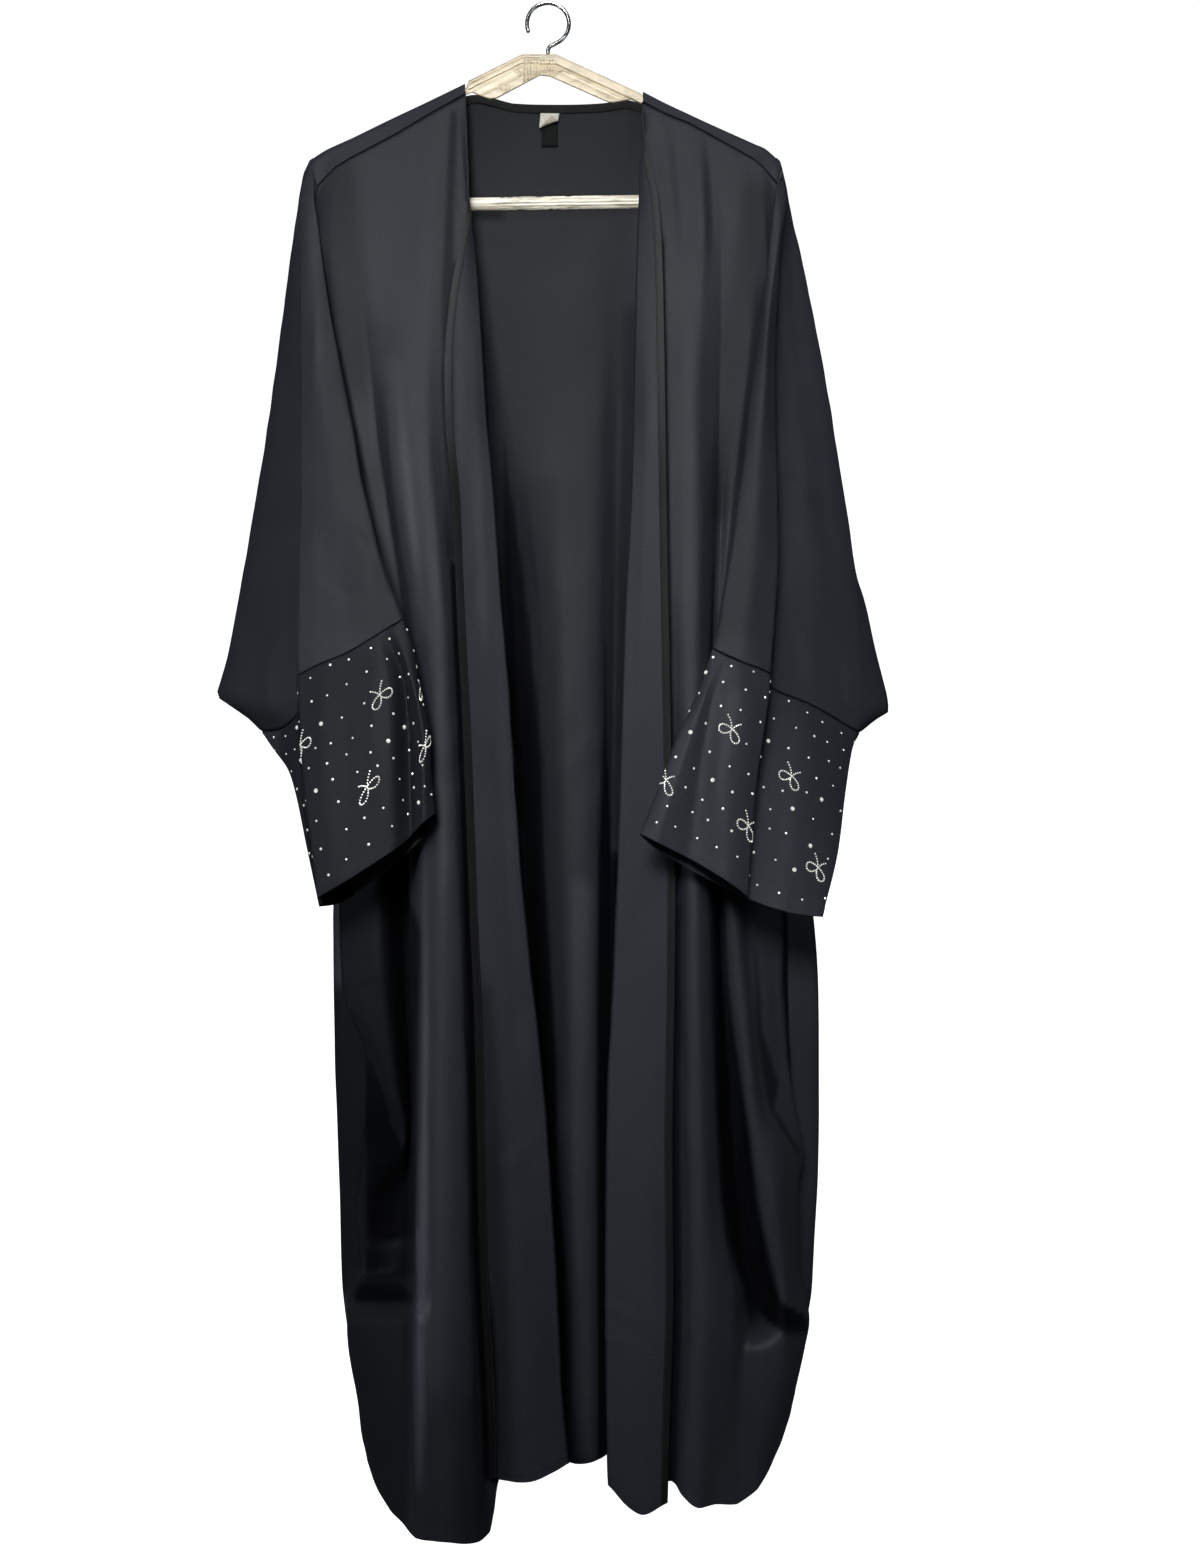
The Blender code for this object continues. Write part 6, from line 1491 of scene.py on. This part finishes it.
def arm_face(across, below):
    """How far the front face lies before the hanger's plane, mm: rails, web, ribs and slots."""
    left = across < 539
    slope = 0.90
    span = below * slope  # distance from the top edge, square to the arm
    full = np.where(left, 26.7, 22.2)
    web = np.where(left, 8.4, 9.2)
    low_rail = np.where(left, 19.0, 15.6)
    face = 4.4 - 1.1 * step_up(span, web) + 0.9 * step_up(span, low_rail)
    face -= 0.8 * bump(span, np.where(left, 3.7, 8.9), 0.55)
    face -= 0.9 * bump(span, np.where(left, 8.4, 9.9), 0.5)
    face -= 0.7 * bump(span, low_rail - 0.3, 0.5)
    face += 0.25 * bump(span, np.where(left, 12.5, 12.8), 1.4)
    # the apex block: upright grooves between two cross ribs
    apex = step_up(across, 524, 0.4) * (1 - step_up(across, 556, 0.4)) * step_up(below, 6.0, 0.5)
    grooves = 0.9 * np.maximum(0, np.sin((across - 524.5) * 2 * math.pi / 3.1)) ** 0.8
    face -= apex * (0.5 + grooves)
    for (d0, a0), (d1, a1) in (((69.7, 514.4), (77, 524.7)), ((69, 561.7), (77.6, 550))):
        drop = below + np.interp(across, *ARM_TOP)
        length = math.hypot(d1 - d0, a1 - a0)
        s = ((drop - d0) * (d1 - d0) + (across - a0) * (a1 - a0)) / length
        q = (-(drop - d0) * (a1 - a0) + (across - a0) * (d1 - d0)) / length
        face += 1.0 * bump(q, 0, 1.0) * ((s > -1) & (s < length + 1))
    # an oval ring moulded into the left arm
    drop = below + np.interp(across, *ARM_TOP)
    round_ = np.sqrt(((across - 503.5) / 4.6) ** 2 + ((drop - 87.6) / 3.6) ** 2)
    face += 0.9 * bump(round_, 1.0, 0.16) - 0.8 * bump(round_, 0.35, 0.45)
    # the moulding's own unevenness
    face += 0.08 * np.sin(across / 7.3 + 1.7 * np.sin(across / 19.0)) * np.sin(span / 2.9)
    return np.clip(face, 0.8, 4.45)


def arm_back(across, below):
    span = below * 0.9
    full = np.where(across < 539, 26.7, 22.2)
    return 4.3 - 1.3 * step_up(span, 4.0) + 1.3 * step_up(span, full - 4.0)


def hanger_arms():
    columns = np.unique(np.concatenate([
        np.linspace(322.5, 768, 300), np.linspace(463, 500, 60), np.linspace(522, 558, 90), np.linspace(497, 509, 24), np.linspace(600, 645, 50),
        ARM_TOP[0], ARM_FOOT[0],
    ]))
    top, foot = arm_outline(columns)
    shares = np.linspace(0, 1, 61)
    shares = shares + 0.0 * shares
    drop = top[None] + (foot - top)[None] * shares[:, None]
    across = np.repeat(columns[None], len(shares), axis=0)
    below = drop - top[None]
    front, rear = arm_face(across, below), arm_back(across, below)
    # rounded long edges, square to the outline
    near = np.minimum(below, foot[None] - drop) * 0.9
    round_ = np.sqrt(np.clip(1 - (1 - np.clip(near / 1.5, 0, 1)) ** 2, 0, 1))
    ends = np.clip(np.minimum(across - 322.5, 768 - across) / 1.5, 0, 1)
    round_ = round_ * np.sqrt(np.clip(1 - (1 - ends) ** 2, 0, 1))
    front, rear = front * (0.35 + 0.65 * round_), rear * (0.35 + 0.65 * round_)
    a = place(np.stack([drop, across, -front], axis=-1))
    b = place(np.stack([drop, across, rear], axis=-1))
    rows, count = across.shape
    vertices = np.concatenate([a.reshape(-1, 3), b.reshape(-1, 3)])
    one = grid_faces(rows, count)
    two = grid_faces(rows, count, rows * count)[:, ::-1]
    ids = np.arange(rows * count).reshape(rows, count)
    rim = np.concatenate([ids[0, :], ids[1:, -1], ids[-1, -2::-1], ids[-2:0:-1, 0]])
    other = rim + rows * count
    sides = np.stack([rim, np.roll(rim, -1), np.roll(other, -1), other], axis=-1)
    faces = np.concatenate([one, two, sides])
    item = mesh_piece("hanger_arms_moulded", vertices, faces, arm_plastic)
    shape = bmesh.new()
    shape.from_mesh(item.data)
    bmesh.ops.recalc_face_normals(shape, faces=shape.faces)
    shape.to_mesh(item.data)
    shape.free()
    return item


def tube(name, path, radius_at, around, material, turn=0.0):
    """A closed tube along world points (m); radius_at(s, angle) in mm."""
    path = np.asarray(path, float)
    far = np.cumsum(np.pad(np.linalg.norm(np.diff(path, axis=0), axis=1), (1, 0))) * 1000
    tangent = np.gradient(path, axis=0)
    tangent /= np.linalg.norm(tangent, axis=1, keepdims=True)
    side = np.array([0.0, 1.0, 0.0])
    angles = np.linspace(0, 2 * math.pi, around, endpoint=False) + turn
    vertices = []
    for k, (p, t) in enumerate(zip(path, tangent)):
        up = np.cross(t, side)
        up /= np.linalg.norm(up)
        radius = np.array([radius_at(far[k], a) for a in angles]) / 1000
        vertices.append(p + radius[:, None] * (np.cos(angles)[:, None] * up + np.sin(angles)[:, None] * side))
    vertices = np.array(vertices)
    rows = len(vertices)
    faces = [tuple(f) for f in grid_faces(rows, around, closed=True)]
    flat = vertices.reshape(-1, 3)
    first, last = len(flat), len(flat) + 1
    flat = np.concatenate([flat, path[:1], path[-1:]])
    for a in range(around):
        m = (a + 1) % around
        faces.append((first, m, a))
        faces.append((last, (rows - 1) * around + a, (rows - 1) * around + m))
    item = mesh_piece(name, flat, faces, material)
    shape = bmesh.new()
    shape.from_mesh(item.data)
    bmesh.ops.recalc_face_normals(shape, faces=shape.faces)
    shape.to_mesh(item.data)
    shape.free()
    return item


def round_path(centre, radius, start, stop, count):
    return [(centre[0] - radius * math.sin(math.radians(a)), centre[1] + radius * math.cos(math.radians(a)), 0.0) for a in np.linspace(start, stop, count)]


arms = dress(hanger_arms(), "hanger_arms", slot="pale_plastic")
arms.visible_shadow = False  # clear plastic throws next to no shadow

# the trouser bar: a clear fluted tube, its ribs close together at the right
ends = [(173.8, 338, 0.0), *round_path((198, 346), 8, 180, 270, 9), *round_path((191.8, 744), 8, 270, 360, 9), (173.8, 752, 0.0)]
points = place(np.array(ends))
far = np.cumsum(np.pad(np.linalg.norm(np.diff(points, axis=0), axis=1), (1, 0)))
at = np.linspace(0, far[-1], 560)
path = np.stack([np.interp(at, far, points[:, c]) for c in range(3)], axis=-1)


def bar_radius(s, angle):
    x = 338 + s - 25
    flute = (0.14 + 0.34 * step_up(x, 508, 3.0)) * math.cos(11 * angle + 0.4)
    ribs = 0.0
    if x > 585:
        ribs = 0.12 * (0.5 - 0.5 * math.cos((x - 585) * 2 * math.pi / 5.2)) * min(1.0, (x - 585) / 12)
    if 505 < x < 585:
        ribs += 0.34 * (1 + math.sin(x / 1.9 + 2.2 * math.sin(x / 8.1))) * (0.5 + 0.5 * math.cos(angle * 3 + x / 5.0))
    return 5.75 + flute - ribs


bar = dress(tube("trouser_bar_fluted", path, bar_radius, 60, bar_plastic_painted_reflections), "hanger_bar", slot="pale_plastic")
bar.visible_shadow = False

centre = (CROWN_DROP + HOOK_RADIUS - HOOK_WIRE / 2, CENTRE_ACROSS)
bend = [(53.6, CENTRE_ACROSS, 0.0), (50, CENTRE_ACROSS, 0.0), (46.5, CENTRE_ACROSS + 2, 0.0)]
bend += round_path(centre, HOOK_RADIUS, -65, 205, 70)
points = place(np.array(bend))
far = np.cumsum(np.pad(np.linalg.norm(np.diff(points, axis=0), axis=1), (1, 0)))
at = np.linspace(0, far[-1], 160)
path = np.stack([np.interp(at, far, points[:, c]) for c in range(3)], axis=-1)
total = far[-1] * 1000
dress(tube("hook_wire", path, lambda s, a: 1.97 * min(1.0, math.sqrt(max(0.02, 1 - max(0.0, (s - (total - 2.0)) / 2.0) ** 2))), 20, chrome), "hanger_hook", slot="chrome_wire")


# ------------------------------------------------------- rhinestones and bows
def dome(centre, normal, radius, height, sides=8, spin=0.0):
    """A faceted stone: a girdle, a crown ring and a flat table."""
    n = normal / np.linalg.norm(normal)
    a = np.cross(n, [0.3, 0.1, 1.0])
    a /= np.linalg.norm(a)
    b = np.cross(n, a)
    vertices, faces = [], []
    for r, h, shift in ((1.0, -0.25, 0.0), (1.0, 0.18, 0.0), (0.60, 0.80, 0.5), (0.0, 1.0, 0.0)):
        if r == 0:
            vertices.append(centre + n * height * h / 1000)
            continue
        for k in range(sides):
            angle = spin + 2 * math.pi * (k + shift) / sides
            vertices.append(centre + (a * math.cos(angle) + b * math.sin(angle)) * radius * r / 1000 + n * height * h / 1000)
    for ring in range(2):
        for k in range(sides):
            m = (k + 1) % sides
            one, two, three, four = ring * sides + k, ring * sides + m, (ring + 1) * sides + m, (ring + 1) * sides + k
            if ring == 0:
                faces.append((one, two, three, four))
            else:
                faces.append((one, two, four))
                faces.append((two, three, four))
    top = 3 * sides
    for k in range(sides):
        faces.append((2 * sides + k, 2 * sides + (k + 1) % sides, top))
    return vertices, faces


class Surface:
    """Reads a closed cuff grid by (arc down, arc around) in mm."""

    def __init__(self, panel, first_row):
        self.world = panel.world[first_row:]
        self.seen = panel.seen[first_row:]
        normal = normals_of(self.world, True) * panel.facing
        self.normal = normal
        self.down = arc_lengths(self.world, 0) * 1000
        wrap = np.concatenate([self.world, self.world[:, :1]], axis=1)
        self.around = arc_lengths(wrap, 1) * 1000
        self.length = float(np.median(self.down[-1]))

    def girth(self, row):
        return float(self.around[row, -1])

    def at(self, down, around):
        """Point and normal at an arc length down and around, measured on the row at that depth."""
        rows = len(self.world)
        row = np.interp(down, np.median(self.down, axis=1), np.arange(rows))
        r = int(np.clip(row, 0, rows - 2))
        f = row - r
        line = self.around[r] * (1 - f) + self.around[r + 1] * f
        around = around % line[-1]
        columns = self.world.shape[1]
        c = np.interp(around, line, np.arange(columns + 1))
        k = int(np.clip(c, 0, columns - 1))
        g = c - k
        k2 = (k + 1) % columns
        mix = lambda a: (a[r, k] * (1 - g) + a[r, k2] * g) * (1 - f) + (a[r + 1, k] * (1 - g) + a[r + 1, k2] * g) * f
        n = mix(self.normal)
        return mix(self.world), n / max(np.linalg.norm(n), 1e-9), mix(self.seen)

    def nearest(self, drop, across):
        """(down, around) of the seen point, on the nearest layer."""
        from_here = None
        for r in range(len(self.world) - 1):
            for k in range(self.world.shape[1]):
                s = self.seen[r, k]
                d = math.hypot(s[0] - drop, s[1] - across)
                if d < 4.5 and self.normal[r, k, 1] < 0.05:
                    key = (s[2] * 0.4 + d)
                    if from_here is None or key < from_here[0]:
                        from_here = (key, float(np.median(self.down[r])), float(self.around[r, k]))
        return from_here[1:] if from_here else None


def bow_lines():
    """A bow round its knot as bead lines, (right, up) in mm: two loops and two tails, each a little bent."""
    lines = []
    for angle, reach, width in ((-4, 12.8, 5.7), (-111, 13.4, 5.4)):
        t = np.linspace(0, 2 * math.pi, 60)
        u = reach * (1 - np.cos(t)) / 2
        w = width * np.sin(t) * (0.45 + 0.55 * u / reach)
        c, s = math.cos(math.radians(angle)), math.sin(math.radians(angle))
        lines.append(np.stack([u * c - w * s, u * s + w * c], axis=-1))
    for angle, reach, bend in ((77, 13.5, 0.9), (146, 10.8, -0.8)):
        t = np.linspace(0.08, 1, 24)
        c, s = math.cos(math.radians(angle)), math.sin(math.radians(angle))
        off = bend * np.sin(math.pi * t)
        lines.append(np.stack([reach * t * c - off * s, reach * t * s + off * c], axis=-1))
    return lines


def even(line, pitch):
    far = np.cumsum(np.pad(np.linalg.norm(np.diff(line, axis=0), axis=1), (1, 0)))
    count = max(2, int(far[-1] / pitch))
    at = np.linspace(0, far[-1], count)
    return np.stack([np.interp(at, far, line[:, c]) for c in range(2)], axis=-1)


def stones_on(panel, name, bows, side, turn, seed, first_row):
    """Stones on a staggered, uneven lattice all round a cuff, with bows set between them.
    side is 1 where the lattice runs to the viewer's right on the cuff's near side, and -1 where it runs left."""
    r = np.random.default_rng(seed)
    surface = Surface(panel, first_row)
    knots = []
    for drop, across, mirror in bows:
        found = surface.nearest(drop, across)
        if found:
            knots.append((*found, mirror))
    # more bows by the same rule over the side that the viewer doesn't see
    girth = surface.girth(len(surface.world) // 2)
    for row, down in enumerate(np.arange(30, surface.length - 16, 46.0)):
        for j in range(int(girth // 64) + 1):
            around = (j + 0.5 * (row % 2)) * 64 + 14
            if around > girth - 12:
                continue
            n = surface.at(down, around)[1]
            if n[1] > 0.15 and all(math.hypot(down - k[0], min(abs(around - k[1]), girth - abs(around - k[1]))) > 42 for k in knots):
                knots.append((down, around, knots[0][2]))
    parts = []
    for down, around, mirror in knots:
        here, below = surface.at(down, around)[2], surface.at(down + 3, around)[2]
        lean = math.atan2(below[1] - here[1], below[0] - here[0])
        c, s = math.cos(lean), math.sin(lean)
        for line in bow_lines():
            for x, y in even(line, 1.95):
                x = x * mirror
                dv, du = -y * c + x * s, side * (x * c + y * s)
                if not 1.0 < down + dv < surface.length - 1.5:
                    continue
                p, n, _ = surface.at(down + dv, around + du)
                parts.append(dome(p + n * 0.0004, n, 0.84, 0.8, 8, r.uniform(0, 1)))
    for row, down in enumerate(np.arange(9, surface.length - 5, 22.5)):
        k = int(np.interp(down, np.median(surface.down, axis=1), np.arange(len(surface.world))))
        girth = surface.girth(k)
        count = int(girth // 21.5)
        for j in range(count):
            around = (j + 0.5 * (row % 2)) * girth / count + turn + r.uniform(-3.0, 3.0)
            d = down + r.uniform(-3.5, 3.5) + 5.0 * math.sin(around / 31.0 + row)
            near = min((math.hypot(d - q[0], min(abs(around % girth - q[1]), girth - abs(around % girth - q[1]))) for q in knots), default=99)
            if near < 15.5 or not 3 < d < surface.length - 4:
                continue
            p, n, _ = surface.at(d, around)
            size = r.choice([1.05, 1.2, 1.35, 2.15], p=[0.34, 0.33, 0.22, 0.11])
            parts.append(dome(p + n * 0.0004, n, size, size * 0.7, 8, r.uniform(0, 1)))
    item = joined(name, parts, stone)
    for polygon in item.data.polygons:
        polygon.use_smooth = False
    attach(item, "root")
    return item


extras["cuff_left"] += [stones_on(left_cuff, "cuff_left_stones", ((694, 378, 1.0), (786, 368, 1.0), (746, 425, 1.0), (747, 297, 1.0)), -1.0, 5.0, 21, 3)]
extras["cuff_right"] += [stones_on(right_cuff, "cuff_right_stones", ((731, 731, -1.0), (775, 791, -1.0), (826, 748, -1.0), (866, 817, -1.0), (781, 664, -1.0)), 1.0, 9.0, 22, 3)]


# --------------------------------------------------------------- cloth's cuts
for name, item in cloth.items():
    print("AREA", name, round(item["area"], 4))

CUTS = {  # flat width and length of each panel's cut, m, and its area
    "back": ((0.70, 1.44), "hanger_arms"),
    "front_left": ((0.50, 1.42), "back"),
    "front_right": ((0.50, 1.42), "back"),
    "sleeve_left": ((0.55, 0.62), "back"),
    "sleeve_right": ((0.54, 0.62), "back"),
    "cuff_left": ((0.49, 0.24), "sleeve_left"),
    "cuff_right": ((0.48, 0.26), "sleeve_right"),
}
for name, (flat, on) in CUTS.items():
    area = cloth[name]["area"]
    area = min(area, 1.0 * flat[0] * flat[1])
    area = max(area, 0.31 * flat[0] * flat[1])

# --------------------------------------------------------------------- stage
def stage_material(name, colour, emission):
    material, tree, shader = new_material(name)
    noise = node(tree, "ShaderNodeTexNoise", Scale=3.0, Detail=2.0)
    ramp = node(tree, "ShaderNodeValToRGB")
    ramp.color_ramp.elements[0].color = (*[c * 0.985 for c in colour], 1)
    ramp.color_ramp.elements[1].color = (*colour, 1)
    tree.links.new(noise.outputs["Fac"], ramp.inputs["Fac"])
    tree.links.new(ramp.outputs["Color"], shader.inputs["Base Color"])
    shader.inputs["Roughness"].default_value = 0.9
    shader.inputs["Emission Color"].default_value = (1, 1, 1, 1)
    shader.inputs["Emission Strength"].default_value = emission
    return material


def sweep():
    """A pale floor that turns up into a wall behind."""
    FLOOR = -1.62
    profile = [(-4.5, FLOOR), (1.2, FLOOR)]
    profile += [(1.2 + 1.6 * math.sin(a), FLOOR + 1.6 * (1 - math.cos(a))) for a in np.linspace(0.1, math.pi / 2, 14)]
    profile += [(2.8, 4.2)]
    shape = bmesh.new()
    lines = [[shape.verts.new((x, y, z)) for y, z in profile] for x in (-5.0, 5.0)]
    for i in range(len(profile) - 1):
        shape.faces.new((lines[0][i], lines[1][i], lines[1][i + 1], lines[0][i + 1]))
    mesh = bpy.data.meshes.new("studio_sweep")
    shape.to_mesh(mesh)
    shape.free()
    mesh.shade_smooth()
    mesh.materials.append(stage_material("pale_paper", (0.9, 0.9, 0.9), 1.0))
    item = bpy.data.objects.new("studio_sweep", mesh)
    bpy.context.scene.collection.objects.link(item)
    item.visible_diffuse = False
    item.visible_glossy = False


sweep()


def area_light(name, at, target, size, power, colour=(1, 1, 1), spread=180):
    data = bpy.data.lights.new(name, "AREA")
    data.shape = "RECTANGLE"
    data.size, data.size_y = size
    data.energy = power
    data.spread = math.radians(spread)
    data.color = colour
    item = bpy.data.objects.new(name, data)
    bpy.context.scene.collection.objects.link(item)
    item.location = at
    from mathutils import Vector

    item.rotation_euler = (Vector(target) - Vector(at)).to_track_quat("-Z", "Y").to_euler()
    return item


area_light("key", (-0.32, -2.5, 0.55), (0.0, 0.0, -0.60), (0.8, 0.8), 7.2, (1.0, 1.0, 0.99), spread=52)
area_light("side", (-1.6, -1.05, -1.2), (-0.1, 0.0, -1.15), (0.12, 0.5), 7, (0.90, 0.95, 1.0))
area_light("far_side", (1.9, -1.3, -0.7), (0.1, 0.0, -0.8), (0.4, 0.9), 4, (0.86, 0.93, 1.0))
area_light("top", (0.1, -0.45, 1.6), (0.0, 0.0, -0.3), (1.0, 0.5), 7, (0.94, 0.97, 1.0))
area_light("behind", (0.7, 2.1, 0.35), (0.0, 0.0, -0.7), (0.8, 0.8), 9, (0.94, 0.97, 1.0))

world = bpy.data.worlds.new("studio")
bpy.context.scene.world = world
world.use_nodes = True
world.node_tree.nodes["Background"].inputs["Color"].default_value = (0.78, 0.88, 1, 1)
world.node_tree.nodes["Background"].inputs["Strength"].default_value = 0.03
bpy.context.scene.view_settings.view_transform = "Standard"

camera = bpy.data.cameras.new("camera")
camera.sensor_width = 36.0
camera.lens = 36.0 * EYE_DISTANCE / 1553.0
camera.clip_end = 50
eye = bpy.data.objects.new("camera", camera)
bpy.context.scene.collection.objects.link(eye)
eye.location = ((EYE_ACROSS - CENTRE_ACROSS) / 1000, -EYE_DISTANCE / 1000, (CROWN_DROP - EYE_DROP) / 1000)
eye.rotation_euler = (math.pi / 2, 0, 0)
bpy.context.scene.camera = eye
